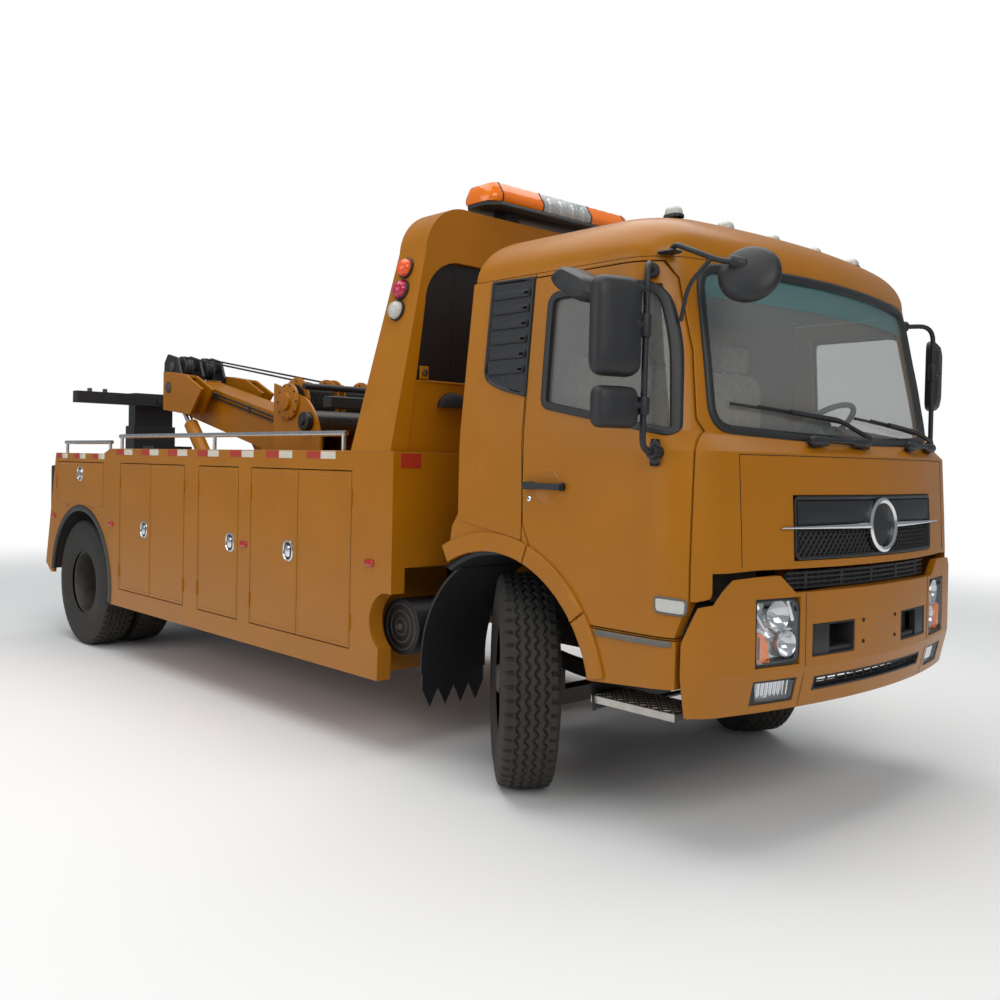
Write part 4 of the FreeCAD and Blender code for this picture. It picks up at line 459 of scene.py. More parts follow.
def hoop(centre, u, v, radius, sides):
    """A round loop about a centre, in the plane of two directions."""
    return [centre + radius * (math.cos(a) * u + math.sin(a) * v)
            for a in (2 * math.pi * k / sides for k in range(sides))]


def pick(value, index):
    """A value that is one number, or one for each point."""
    return value[index] if isinstance(value, (list, tuple)) else value


class Maker:
    """Collects faces in the axle frame and turns them into one piece that rides on a body."""

    def __init__(self, name, body, finishes, slot, replaced=(), place=None):
        self.name = name
        self.body = body
        self.finishes = finishes
        self.slot = slot
        self.replaced = replaced
        self.place = place or Matrix.Translation((AXLE_X, 0, 0))
        self.bm = bmesh.new()

    def face(self, verts, finish=0):
        """A face, left out where the same corners already hold one."""
        try:
            self.bm.faces.new(verts).material_index = finish
        except ValueError:
            pass

    def bands(self, loops, finish=0, closed=True, ends=(False, False)):
        """Faces between loops of equal length; ends cap the first and the last loop."""
        rows = [[self.bm.verts.new(p) for p in loop] for loop in loops]
        count = len(rows[0])
        for a, b in zip(rows, rows[1:]):
            for i in range(count if closed else count - 1):
                j = (i + 1) % count
                self.face((a[i], a[j], b[j], b[i]), finish)
        if ends[0]:
            self.face(rows[0][::-1], finish)
        if ends[1]:
            self.face(rows[-1], finish)
        return rows

    def box(self, low, high, finish=0, chamfer=0.0):
        """A box between two corners, with its edges cut by a chamfer."""
        low, high = Vector(low), Vector(high)
        c = min(chamfer, *((high - low) * 0.45))
        if c <= 0:
            c = LEAST_CHAMFER
        loops = []
        for z, inset in ((low.z, c), (low.z + c, 0), (high.z - c, 0), (high.z, c)):
            x0, x1, y0, y1 = low.x + inset, high.x - inset, low.y + inset, high.y - inset
            loops.append([(x0 + c, y0, z), (x1 - c, y0, z), (x1, y0 + c, z), (x1, y1 - c, z),
                          (x1 - c, y1, z), (x0 + c, y1, z), (x0, y1 - c, z), (x0, y0 + c, z)])
        self.bands(loops, finish, ends=(True, True))

    def tube(self, path, radius, finish=0, sides=12):
        """A round bar along a path of points; radius is one number or one for each point."""
        path = [Vector(p) for p in path]
        loops = []
        normal = None
        for i, p in enumerate(path):
            ahead = (path[min(i + 1, len(path) - 1)] - path[max(i - 1, 0)]).normalized()
            if normal is None:
                normal = square_to(ahead)
            else:
                normal = (normal - ahead * normal.dot(ahead)).normalized()
            loops.append(hoop(p, normal, ahead.cross(normal), pick(radius, i), sides))
        self.bands(loops, finish, ends=(True, True))

    def lathe(self, profile, origin, axis, finish=0, sides=40):
        """A turned form; the profile's points are (distance along the axis, radius)."""
        origin, axis = Vector(origin), Vector(axis).normalized()
        u = square_to(axis)
        self.bands([hoop(origin + axis * s, u, axis.cross(u), r, sides) for s, r in profile], finish)

    def finish(self, sharp=35):
        """Welds the faces and makes the piece, with its finishes, its body and its slot."""
        bmesh.ops.remove_doubles(self.bm, verts=self.bm.verts, dist=WELD)
        bmesh.ops.recalc_face_normals(self.bm, faces=self.bm.faces)
        bmesh.ops.transform(self.bm, matrix=self.place, verts=self.bm.verts)
        if self.place.determinant() < 0:
            bmesh.ops.reverse_faces(self.bm, faces=self.bm.faces)
        mesh = bpy.data.meshes.new(self.name)
        self.bm.to_mesh(mesh)
        self.bm.free()
        for finish in self.finishes:
            mesh.materials.append(finish)
        piece = bpy.data.objects.new(self.name, mesh)
        bpy.context.scene.collection.objects.link(piece)
        mesh.shade_smooth()
        mesh.set_sharp_from_angle(angle=math.radians(sharp))
        if self.body:
            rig.ride(piece, self.body)
        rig.slot(piece, self.slot)
        if self.replaced:
            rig.replaces(piece, *self.replaced)
        return piece


def turn_corner(a, b, c, reach, steps):
    """Points of a curve that leaves the line from a to b and joins the line from b to c."""
    start, end = b + (a - b).normalized() * reach, b + (c - b).normalized() * reach
    return [(1 - t) ** 2 * start + 2 * t * (1 - t) * b + t * t * end
            for t in (k / steps for k in range(steps + 1))]


def rounded(points, radius, steps=5):
    """A closed outline whose corners are rounded; radius is one number or one for each point."""
    result = []
    count = len(points)
    for i in range(count):
        a, b, c = (Vector(points[(i + k) % count]) for k in (-1, 0, 1))
        reach = min(pick(radius, i), (a - b).length * 0.49, (c - b).length * 0.49)
        result += [b] if reach < 1e-5 else turn_corner(a, b, c, reach, steps)
    return result


def bent(points, radius):
    """An open path in space whose corners are rounded."""
    points = [Vector(p) for p in points]
    path = [points[0]]
    for a, b, c in zip(points, points[1:], points[2:]):
        path += turn_corner(a, b, c, min(radius, (a - b).length * 0.45, (c - b).length * 0.45), BEND_STEPS)
    return path + [points[-1]]


def offset(loop, amount):
    """A closed outline moved outwards; it turns inwards where the amount is negative."""
    area = sum(a[0] * b[1] - b[0] * a[1] for a, b in zip(loop, loop[1:] + loop[:1]))
    sign = 1 if area > 0 else -1
    moved = []
    for i, point in enumerate(loop):
        ahead = Vector(loop[(i + 1) % len(loop)]) - Vector(loop[i - 1])
        if ahead.length < 1e-9:
            ahead = Vector((1, 0))
        ahead.normalize()
        moved.append(Vector(point) + sign * amount * Vector((ahead.y, -ahead.x)))
    return moved


def dense(loop, step):
    """A closed outline with extra points, so that it follows a curved surface."""
    result = []
    for a, b in zip(loop, loop[1:] + loop[:1]):
        a, b = Vector(a), Vector(b)
        parts = max(1, math.ceil((b - a).length / step))
        result += [a.lerp(b, k / parts) for k in range(parts)]
    return result


# ---------------------------------------------------------------- the cab's and the bumper's surfaces
# height, front centre x, half width, rear x, radius of the bow
CAB_ROWS = ((0.65, 1.342, 1.2, -0.315, 3.6), (1.188, 1.331, 1.2, -0.315, 3.6),
            (1.281, 1.326, 1.2, -0.3, 3.6), (1.345, 1.323, 1.2, -0.256, 3.6),
            (1.665, 1.303, 1.2, -0.256, 3.6), (1.748, 1.192, 1.198, -0.254, 4.3),
            (2.02, 1.14, 1.178, -0.246, 4.3), (2.48, 1.046, 1.136, -0.24, 4.3))
CAB_CORNER = 0.24
BUMPER_ROWS = ((0.585, 1.304, 1.207, 0, 4.0), (0.76, 1.34, 1.215, 0, 4.0), (1.16, 1.336, 1.213, 0, 4.0))
BUMPER_CORNER = 0.25
SEAM_Z = 2.48
ROOF_RISE = 0.235
ROOF_SHOULDER = 0.33
CAB_WALL = 0.045
GLASS_INSET = 0.014
PROBE_ACROSS = 0.004
PROBE_UP = 0.01


def row_at(rows, z):
    """The plan's sizes at a height: front x, half width, rear x, radius of the bow."""
    z = min(max(z, rows[0][0]), rows[-1][0])
    for a, b in zip(rows, rows[1:]):
        if z <= b[0]:
            t = (z - a[0]) / (b[0] - a[0])
            return [p + t * (q - p) for p, q in zip(a[1:], b[1:])]
    return list(rows[-1][1:])


def corner_at(rows, corner, z):
    """Centre x of the bow, half width, radius of the bow and centre x of the round corner."""
    front, half, _, bow = row_at(rows, z)
    centre = front - bow
    return centre, half, bow, centre + math.sqrt((bow - corner) ** 2 - (half - corner) ** 2)


def front_x(rows, corner, y, z):
    """x of the bowed front, or of its round corner, at a side position."""
    centre, half, bow, corner_x = corner_at(rows, corner, z)
    if abs(y) <= bow * (half - corner) / (bow - corner):
        return centre + math.sqrt(bow ** 2 - y ** 2)
    return corner_x + math.sqrt(max(corner ** 2 - (abs(y) - half + corner) ** 2, 0))


def side_y(x, z):
    """The cab's half width at a station along the side, round the front corner too."""
    _, half, _, corner_x = corner_at(CAB_ROWS, CAB_CORNER, z)
    if x <= corner_x:
        return half
    return half - CAB_CORNER + math.sqrt(max(CAB_CORNER ** 2 - (x - corner_x) ** 2, 0))


def slopes(depth, across, z):
    """How fast a surface's depth changes across it and up it."""
    return ((depth(across + PROBE_ACROSS, z) - depth(across - PROBE_ACROSS, z)) / (2 * PROBE_ACROSS),
            (depth(across, z + PROBE_UP) - depth(across, z - PROBE_UP)) / (2 * PROBE_UP))


def on_front(loop, lift=0.0, rows=CAB_ROWS, corner=CAB_CORNER):
    """Front view points (y, z) put on the front surface, raised by a lift."""
    def depth(y, z):
        return front_x(rows, corner, y, z)

    placed = []
    for y, z in loop:
        dx_dy, dx_dz = slopes(depth, y, z)
        placed.append(Vector((depth(y, z), y, z)) + Vector((1, -dx_dy, -dx_dz)).normalized() * lift)
    return placed


def on_side(loop, side, lift=0.0):
    """Side view points (x, z) put on one side of the cab, raised by a lift."""
    placed = []
    for x, z in loop:
        dy_dx, dy_dz = slopes(side_y, x, z)
        p = Vector((x, side_y(x, z), z)) + Vector((-dy_dx, 1, -dy_dz)).normalized() * lift
        placed.append(Vector((p.x, side * p.y, p.z)))
    return placed


def on_bumper(loop, lift=0.0):
    return on_front(loop, lift, BUMPER_ROWS, BUMPER_CORNER)


def moulding(maker, loop, surface, profile, finish=0, cap=False):
    """A band round an outline on a surface; the profile's points are (outset, lift)."""
    outlines = [offset(loop, outset) if outset else loop for outset, _ in profile]
    loops = [surface(outline, lift) for outline, (_, lift) in zip(outlines, profile)]
    across = [p[0] for p in loop]
    wide = max(across) - min(across) > SKIN_SPAN
    maker.bands(loops, finish, ends=(False, cap and not wide))
    if cap and wide:
        skin(maker, outlines[-1], surface, profile[-1][1], finish)


def skin(maker, outline, surface, lift, finish=0):
    """Fills an outline on a curved surface with columns of faces."""
    edges = list(zip(outline, outline[1:] + outline[:1]))
    stations = sorted({p[0] for p in outline})
    stations = [s for s, last in zip(stations, [-9] + stations) if s - last > WELD]
    heights = []
    for s in stations:
        met = []
        for a, b in edges:
            if min(a[0], b[0]) - WELD <= s <= max(a[0], b[0]) + WELD:
                if abs(b[0] - a[0]) < WELD:
                    met += [a[1], b[1]]
                else:
                    met.append(a[1] + (b[1] - a[1]) * (s - a[0]) / (b[0] - a[0]))
        heights.append((min(met), max(met)))
    tallest = max(high - low for low, high in heights)
    count = max(1, math.ceil(tallest / SKIN_STEP))
    columns = []
    for s, (low, high) in zip(stations, heights):
        columns.append(surface([(s, low + (high - low) * k / count) for k in range(count + 1)], lift))
    maker.bands(columns, finish, closed=False)


def rectangle(a0, b0, a1, b1):
    return [(a0, b0), (a1, b0), (a1, b1), (a0, b1)]


def spread(low, high, count):
    """Numbers from low to high in equal steps, both ends included."""
    return [low + (high - low) * k / count for k in range(count + 1)]


def way(a, b, count):
    """Points from a to b in equal steps, both ends included."""
    return [tuple(p + (q - p) * k / count for p, q in zip(a, b)) for k in range(count + 1)]


def circle(x, z, radius, count=24):
    """Points round a circle in a plane."""
    return [(x + radius * math.cos(2 * math.pi * k / count), z + radius * math.sin(2 * math.pi * k / count))
            for k in range(count)]


def flip(loop, sign):
    """An outline in front view on one side of the truck, or mirrored to the other."""
    return [(sign * y, z) for y, z in loop]


def form(points, sign=1, radius=0.0, turns=4, step=0.05):
    """An outline on its side of the truck, with rounded corners and divided edges."""
    return dense(rounded(flip(points, sign), radius, turns), step)


def plate(maker, loop, surface, foot, edge, draw, face, finish=0):
    """A capped plate on a surface: the lifts of its foot, edge and face, the face drawn in a little."""
    moulding(maker, loop, surface, ((0, foot), (0, edge), (-draw, face)), finish, cap=True)


def bolt(maker, place, axis, radius, height, finish):
    """A hexagonal bolt head."""
    maker.lathe([(0, radius), (height, radius), (height + 0.001, 0.001)], place, axis, finish, 6)


SIDES = (("left", 1), ("right", -1))


def side_surface(sign):
    """The surface function of one side of the cab."""
    return lambda points, lift: on_side(points, sign, lift)


# ---------------------------------------------------------------- roof
ROOF_DRAW = 0.9
ROOF_REAR_DRAW = 0.25
ROOF_SWEEP = math.radians(82)
ROOF_CROWN = 0.006


def roof_plan(shrink, z, inset):
    """One level loop of the roof: bowed front, round corners, flat sides and rear."""
    front, half, rear, bow = row_at(CAB_ROWS, SEAM_Z)
    front -= ROOF_DRAW * shrink + inset
    half -= ROOF_DRAW * shrink + inset
    rear += ROOF_REAR_DRAW * shrink + inset
    bow -= inset
    centre = front - bow
    corner = max(CAB_CORNER - inset, 0.02)
    corner_x = centre + math.sqrt((bow - corner) ** 2 - (half - corner) ** 2)
    reach = math.atan2(half - corner, corner_x - centre)
    small = 0.05 + 0.12 * shrink
    bowed = [(centre + bow * math.cos(a), bow * math.sin(a), z) for a in spread(-reach, reach, 24)]
    flank = [(corner_x + corner * math.cos(a), half - corner + corner * math.sin(a), z)
             for a in spread(reach, math.pi / 2, 8)[1:]]
    flank += [(x, half, z) for x in spread(corner_x, rear + small, 13)[1:-1]]
    flank += [(rear + small + small * math.cos(a), half - small + small * math.sin(a), z)
              for a in spread(math.pi / 2, math.pi, 6)]
    back = [(rear, y, z) for y in spread(half - small, small - half, 12)[1:-1]]
    return bowed + flank + back + [(x, -y, z) for x, y, z in reversed(flank)]


def make_roof():
    """One smooth shell with its inner lining, in place of the faceted solid."""
    maker = Maker("roof_shell", "cab", [PAINT, TRIM], "paint", ["cab_roof"])

    def shell(inset, finish):
        loops = [roof_plan(0, SEAM_Z + 0.002, inset)]
        for angle in spread(0, ROOF_SWEEP, 16)[1:]:
            loops.append(roof_plan(ROOF_SHOULDER * (1 - math.cos(angle)),
                                   SEAM_Z + (ROOF_RISE - inset) * math.sin(angle), inset))
        last = loops[-1]
        middle_x = sum(p[0] for p in last) / len(last)
        for share in (0.85, 0.65, 0.45, 0.25, 0.1):
            z = last[0][2] + ROOF_CROWN * (1 - share ** 2)
            loops.append([(middle_x + (x - middle_x) * share, y * share, z) for x, y, _ in last])
        return maker.bands(loops, finish, ends=(False, True))

    outer = shell(0.0, 0)[0]
    inner = shell(CAB_WALL, 1)[0]
    for i, j in zip(range(len(outer)), [*range(1, len(outer)), 0]):
        maker.face((outer[i], outer[j], inner[j], inner[i]), 0)
    maker.finish(sharp=50)


# ---------------------------------------------------------------- windows
SCREEN_HEAD = 2.438
SCREEN_HEAD_RISE = 0.016
TINT_LOW = 2.325
TINT_HALF = 0.9
RUBBER_PROFILE = ((0.034, 0.0), (0.031, 0.009), (0.016, 0.013), (-0.004, 0.008), (-0.01, -GLASS_INSET))
DOOR_RUBBER_PROFILE = ((0.02, 0.0), (0.018, 0.006), (0.006, 0.008), (-0.012, 0.004), (-0.016, -GLASS_INSET))


def screen_loop():
    """The windscreen opening, front view, with bowed sill and head."""
    low_y, high_y, sill, head, corner = 0.958, 0.912, 1.772, SCREEN_HEAD, 0.095

    def bow(half, z, rise):
        return [(half * (1 - 2 * k / 12), z + rise * (1 - (2 * k / 12 - 1) ** 2)) for k in range(1, 12)]

    corners = [tuple(p) for p in rounded([(low_y, sill), (high_y, head), (-high_y, head), (-low_y, sill)],
                                         corner, 8)]
    half = len(corners) // 2
    return dense(corners[:half] + bow(high_y - corner, head, SCREEN_HEAD_RISE) + corners[half:]
                 + bow(corner - low_y, sill, -0.024), 0.06)


def window_loop():
    """The opening in a cab door, side view."""
    front, rear = 1.008, 0.32
    return dense(rounded([(rear, 1.869), (front, 1.741), (front - 0.044, 2.118), (front - 0.121, 2.364),
                          (rear - 0.005, 2.364)], [0.03, 0.03, 0.3, 0.1, 0.05]), 0.05)


def make_windows():
    rubber = Maker("windscreen_rubber", "cab", [PLASTIC], "plastic_black")
    moulding(rubber, screen_loop(), on_front, RUBBER_PROFILE)
    rubber.finish(sharp=60)

    band = Maker("windscreen_tint", "cab", [TINT], "glass")
    rows = []
    for share in (0.0, 0.33, 0.66, 1.0):
        line = []
        for y in spread(-TINT_HALF, TINT_HALF, 24):
            edge = (SCREEN_HEAD + SCREEN_HEAD_RISE * (1 - (y / TINT_HALF) ** 2)
                    - max(0.0, abs(y) - 0.82) * 0.55)
            line.append((y, TINT_LOW + (edge - TINT_LOW) * share))
        rows.append(on_front(line, -GLASS_INSET + 0.006))
    band.bands(rows, closed=False)
    band.finish()

    for side, sign in reversed(SIDES):
        rubber = Maker(f"window_rubber_{side}", f"door_{side}", [PLASTIC], "plastic_black")
        moulding(rubber, window_loop(), side_surface(sign), DOOR_RUBBER_PROFILE)
        rubber.finish(sharp=60)


# ---------------------------------------------------------------- cab front
GRILLE_HALF = 0.612
MESH_PITCH = 0.034
EMBLEM = (0.006, 1.352)
LEDGE_Z = 1.700
COWL_SEAM_Z = 1.655
COWL_HALF = 0.93
# pivot, near and far end of each wiper's blade, in front view
WIPERS = (((0.0, 1.712), (-0.17, 1.82), (-0.86, 1.868)), ((0.86, 1.722), (0.66, 1.80), (0.02, 1.842)))


def add_mesh(maker, low_z, high_z, finish):
    """Diamond mesh: two families of slanting bars."""
    rise = high_z - low_z
    for lean in (1, -1):
        for index in range(-2, int(1.23 / MESH_PITCH) + 2):
            start = -GRILLE_HALF + index * MESH_PITCH
            path = [(y, z) for y, z in way((start, low_z), (start + lean * rise * 0.9, high_z), 4)
                    if abs(y) <= GRILLE_HALF + 0.002]
            if len(path) > 1:
                maker.tube(on_front(path, -0.007 + 0.001 * lean), 0.0045, finish, 4)


def add_emblem(maker, finish):
    """A plain oval ring with a tapered bar to each side."""
    y, z = EMBLEM
    ring = [(y + 0.112 * p, z + 0.108 * q) for p, q in circle(0, 0, 1, 48)]
    moulding(maker, ring, on_front, ((0.016, 0.002), (0.016, 0.02), (0.004, 0.028), (-0.008, 0.02),
                                     (-0.01, 0.0)), finish)
    moulding(maker, offset(ring, -0.012), on_front, ((0, 0.002), (-0.02, 0.006)), 0, cap=True)
    for sign in (-1, 1):
        path = on_front(way((y + sign * 0.12, z), (y + sign * 0.73, z), 12), 0.012)
        maker.tube(path, spread(0.015, 0.004, 12), finish, 10)


def make_cab_front():
    panel = Maker("grille_panel", "cab", [PLASTIC, MESH, CHROME], "plastic_black", ["front_grille"])
    loop = dense(rounded(rectangle(-0.636, 1.216, 0.636, 1.486), 0.035), 0.08)
    moulding(panel, loop, on_front, ((0, -0.028), (0.0, 0.004), (-0.006, 0.006), (-0.016, 0.0)))
    moulding(panel, offset(loop, -0.016), on_front, ((0, 0.0), (-0.002, -0.012)), cap=True)
    plate(panel, dense(rectangle(-GRILLE_HALF, 1.362, GRILLE_HALF, 1.466), 0.08), on_front,
          -0.012, -0.002, 0.008, 0.003)
    add_mesh(panel, 1.232, 1.338, 1)
    add_emblem(panel, 2)
    panel.finish(sharp=40)

    # grab handles with round ends on the ledge below the windscreen, and the seams of the front panel
    cowl = Maker("cowl_trim", "cab", [PLASTIC, CHROME, SEAM], "plastic_black")
    for y0, y1 in ((-0.47, -0.06), (0.42, 0.80)):
        ends = on_front([(y0, LEDGE_Z), (y1, LEDGE_Z)], 0.03)
        cowl.tube(on_front(way((y0, LEDGE_Z), (y1, LEDGE_Z), 8), 0.034), 0.012, 0, 10)
        for end, sign in zip(ends, (1, -1)):
            along = (ends[1] - ends[0]).normalized() * sign
            cowl.tube([end - along * 0.03, end, end + along * 0.10, end + along * 0.12],
                      [0.014, 0.024, 0.021, 0.012], 0, 12)
            foot = on_front([(end.y + along.y * 0.02, LEDGE_Z)], -0.004)[0]
            cowl.tube([foot, end + along * 0.02], 0.016, 0, 10)
    for y in (-COWL_HALF, COWL_HALF):
        cowl.tube(on_front(way((y, COWL_SEAM_Z), (y, COWL_SEAM_Z - 0.46), 10)), 0.0018, 2, 5)
    cowl.tube(on_front(way((-COWL_HALF, COWL_SEAM_Z), (COWL_HALF, COWL_SEAM_Z), 30)), 0.0018, 2, 5)
    cowl.finish(sharp=50)

    wipers = Maker("wipers", "cab", [PLASTIC], "plastic_black")
    for pivot, near, far in WIPERS:
        hub, tip = on_front([pivot])[0], on_front([pivot], 0.045)[0]
        wipers.tube([hub, hub.lerp(tip, 0.3), tip], [0.026, 0.02, 0.017], 0, 14)
        elbow = on_front([((pivot[0] + near[0]) / 2, (pivot[1] + near[1]) / 2 + 0.01)], 0.05)[0]
        grip = on_front([near], 0.03)[0]
        reach = on_front([((near[0] + far[0]) / 2, (near[1] + far[1]) / 2)], 0.022)[0]
        wipers.tube(bent([tip, elbow, grip, reach], 0.05), 0.011, 0, 8)
        # the blade passes the arm's grip by two steps
        step = ((far[0] - near[0]) / 14, (far[1] - near[1]) / 14)
        blade = [(near[0] + step[0] * k, near[1] + step[1] * k) for k in range(-2, 15)]
        wipers.tube(on_front(blade, 0.004), 0.007, 0, 6)
        spine = [(y, z + 0.004) for y, z in blade[3:14]]
        wipers.tube(on_front(spine, 0.015), 0.005, 0, 6)
    wipers.finish(sharp=50)


# ---------------------------------------------------------------- wheels
TYRE_RADIUS = 0.525
TYRE_HALF = 0.14
BEAD_RADIUS = 0.258
BEAD_HALF = 0.098
CROWN_HALF = 0.114
CROWN_DROP = 0.005
TREAD_TURNS = 52
TREAD_GROOVES = (-0.064, -0.021, 0.021, 0.064)
AROUND_TYRE = 416
REAR_AXLE_X = -5.0
KINGPIN_Y = 0.865
KINGPIN_REACH = 0.07
STEER = {"right": -40.0, "left": -32.0}
TWIN_Y = (1.095, 0.773)
NUT_CIRCLE = 0.1235
NUT_COUNT = 10
NUT_SIZE = 0.0135
# rim flange: distance along the wheel's axis, radius
RIM = ((0.089, 0.2585), (0.1, 0.268), (0.103, 0.264), (0.1, 0.25), (0.09, 0.2475))


def wheel_place(side, turn):
    """Matrix that carries a front wheel's own axes (y outwards) into the truck."""
    sign = 1 if side == "left" else -1
    return (Matrix.Translation((AXLE_X, sign * KINGPIN_Y, TYRE_RADIUS))
            @ Matrix.Rotation(math.radians(turn), 4, "Z")
            @ Matrix.Translation((0, sign * KINGPIN_REACH, 0)) @ Matrix.Diagonal((1, sign, 1, 1)))


def rear_place(side, y):
    """Matrix that carries a rear wheel's own axes (y outwards) into the truck."""
    sign = 1 if side == "left" else -1
    return (Matrix.Translation((AXLE_X + REAR_AXLE_X, sign * y, TYRE_RADIUS))
            @ Matrix.Diagonal((1, sign, 1, 1)))


def tyre_profile():
    """Points across the tyre from bead to bead: (radius, offset, how deep the tread may cut)."""
    wall = []
    for k in range(10):
        t = k / 9
        radius = BEAD_RADIUS + (TYRE_RADIUS - 0.03 - BEAD_RADIUS) * t
        bulge = math.sin(math.pi * min(1, 0.14 + 0.62 * t)) ** 0.8
        rib = 0.003 if k in (1, 6) else 0
        wall.append((radius, -(BEAD_HALF + (TYRE_HALF - BEAD_HALF) * bulge) - rib, 0.0))
    wall.append((TYRE_RADIUS - 0.017, -0.125, 0.5))
    crown = [(TYRE_RADIUS - CROWN_DROP * (w / CROWN_HALF) ** 2, w, 1.0)
             for w in spread(-CROWN_HALF, CROWN_HALF, 38)]
    return wall + crown + [(r, -w, cut) for r, w, cut in reversed(wall)]


def tread_cut(angle, w):
    """How far the rubber is cut at a place on the crown: zigzag ribs and shoulder lugs."""
    phase = (angle / (2 * math.pi) * TREAD_TURNS) % 1
    zig = 0.009 * (abs(phase * 4 - 2) - 1)
    depth = 0.0
    if any(abs(w - centre - zig) < 0.0046 for centre in TREAD_GROOVES):
        depth = 0.011
    if abs(w) > 0.088 and (phase + 0.1) % 1 < 0.26:
        depth = 0.013
    return depth


def add_tyre(maker, shift=0.0):
    """A tyre with its tread, moved along the axle by a shift."""
    loops = []
    for r, w, share in tyre_profile():
        loop = []
        for k in range(AROUND_TYRE):
            angle = 2 * math.pi * k / AROUND_TYRE
            cut = tread_cut(angle, w) * share if share else 0
            loop.append(((r - cut) * math.cos(angle), w + shift, (r - cut) * math.sin(angle)))
        loops.append(loop)
    maker.bands(loops)


def make_tyres():
    for side, _ in SIDES:
        front = Maker(f"tyre_tread_front_{side}", f"front_wheel_{side}", [RUBBER], "tyre",
                      [f"front_tyre_{side}"], wheel_place(side, STEER[side]))
        add_tyre(front)
        front.finish(sharp=42)
        rear = Maker(f"tyre_tread_rear_{side}", f"rear_wheels_{side}", [RUBBER], "tyre",
                     [f"rear_tyres_{side}"], rear_place(side, 0))
        for y in TWIN_Y:
            add_tyre(rear, y)
        rear.finish(sharp=42)


def add_nuts(maker, low, high):
    """A ring of wheel nuts with stud ends, about the wheel's axis."""
    profile = [(low, NUT_SIZE * 1.35), (low + 0.004, NUT_SIZE * 1.35), (low + 0.005, NUT_SIZE),
               (high - 0.004, NUT_SIZE), (high, NUT_SIZE * 0.8), (high, NUT_SIZE * 0.45),
               (high + 0.012, NUT_SIZE * 0.42), (high + 0.013, 0.001)]
    for x, z in circle(0, 0, NUT_CIRCLE, NUT_COUNT):
        maker.lathe(profile, (x, 0, z), (0, 1, 0), 0, 6)


def make_hubs():
    centre, axle = (0, 0, 0), (0, 1, 0)
    twin_gap = TWIN_Y[1] - TWIN_Y[0]
    disc = twin_gap / 2 * 0.94 + 0.007
    cap = twin_gap / 2 + 0.095
    for side, _ in SIDES:
        front = Maker(f"wheel_nuts_front_{side}", f"front_wheel_{side}", [STEEL], "wheel_steel",
                      place=wheel_place(side, STEER[side]))
        add_nuts(front, 0.066, 0.090)
        front.lathe([(0.079, 0.104), (0.086, 0.104), (0.092, 0.092), (0.094, 0.078), (0.125, 0.072),
                     (0.134, 0.06), (0.136, 0.02), (0.136, 0.001)], centre, axle, 0, 36)
        front.lathe([(-0.088, 0.2585), *RIM], centre, axle, 0, 64)
        front.finish(sharp=40)
        rear = Maker(f"wheel_nuts_rear_{side}", f"rear_wheels_{side}", [STEEL], "wheel_steel",
                     place=rear_place(side, TWIN_Y[0]))
        add_nuts(rear, disc, disc + 0.028)
        rear.lathe([(cap - 0.001, 0.108), (cap + 0.008, 0.106), (cap + 0.012, 0.09), (cap + 0.012, 0.001)],
                   centre, axle, 0, 36)
        for x, z in circle(0, 0, 0.082, 8):
            rear.lathe([(cap + 0.011, 0.011), (cap + 0.02, 0.01), (cap + 0.021, 0.001)], (x, 0, z), axle,
                       0, 6)
        rear.lathe([(0.0, 0.2475), *reversed(RIM)], centre, axle, 0, 64)
        rear.finish(sharp=40)


# ---------------------------------------------------------------- bumper fillings
FRAME_PROFILE = ((0.004, -0.05), (0.004, -0.004), (-0.004, -0.001), (-0.009, -0.008), (-0.011, -0.055))
# outlines on the left half of the bumper, in front view
HEADLAMP = ((0.868, 0.782), (0.614, 0.786), (0.614, 1.058), (0.868, 1.058))
INDICATOR = ((0.858, 0.792), (0.775, 0.792), (0.785, 0.88), (0.815, 0.922), (0.858, 0.922))
FOG_LAMP = ((0.866, 0.718), (0.620, 0.718), (0.620, 0.624), (0.838, 0.624))
FOG_CORNER = ((0.8695, 0.7215), (0.864, 0.7215), (0.836, 0.6205), (0.8695, 0.6205))
BULBS = ((0.735, 0.985, 0.062), (0.678, 0.865, 0.052))
LAMP_BARS = (((0.862, 1.02), (0.80, 0.935)), ((0.80, 0.935), (0.625, 0.925)), ((0.66, 1.045), (0.625, 0.96)))


def bumper_normal(y, z):
    a, b = on_bumper([(y, z)], 0.0)[0], on_bumper([(y, z)], 0.02)[0]
    return (b - a).normalized()


def add_bulb(maker, y, z, radius):
    """A lamp's bright bowl with its clear bulb."""
    normal = bumper_normal(y, z)
    base = on_bumper([(y, z)], -0.062)[0]
    bowl = [(0.004 + 0.042 * share ** 2, 0.008 + (radius - 0.008) * share) for share in spread(0, 1, 8)]
    bowl += [(0.05, radius + 0.004), (0.044, radius + 0.007), (0.006, radius + 0.007)]
    maker.lathe(bowl, base, normal, 1, 32)
    maker.lathe([(0.0, 0.012), (0.02, 0.012), (0.032, 0.009), (0.036, 0.001)], base, normal, 3, 14)


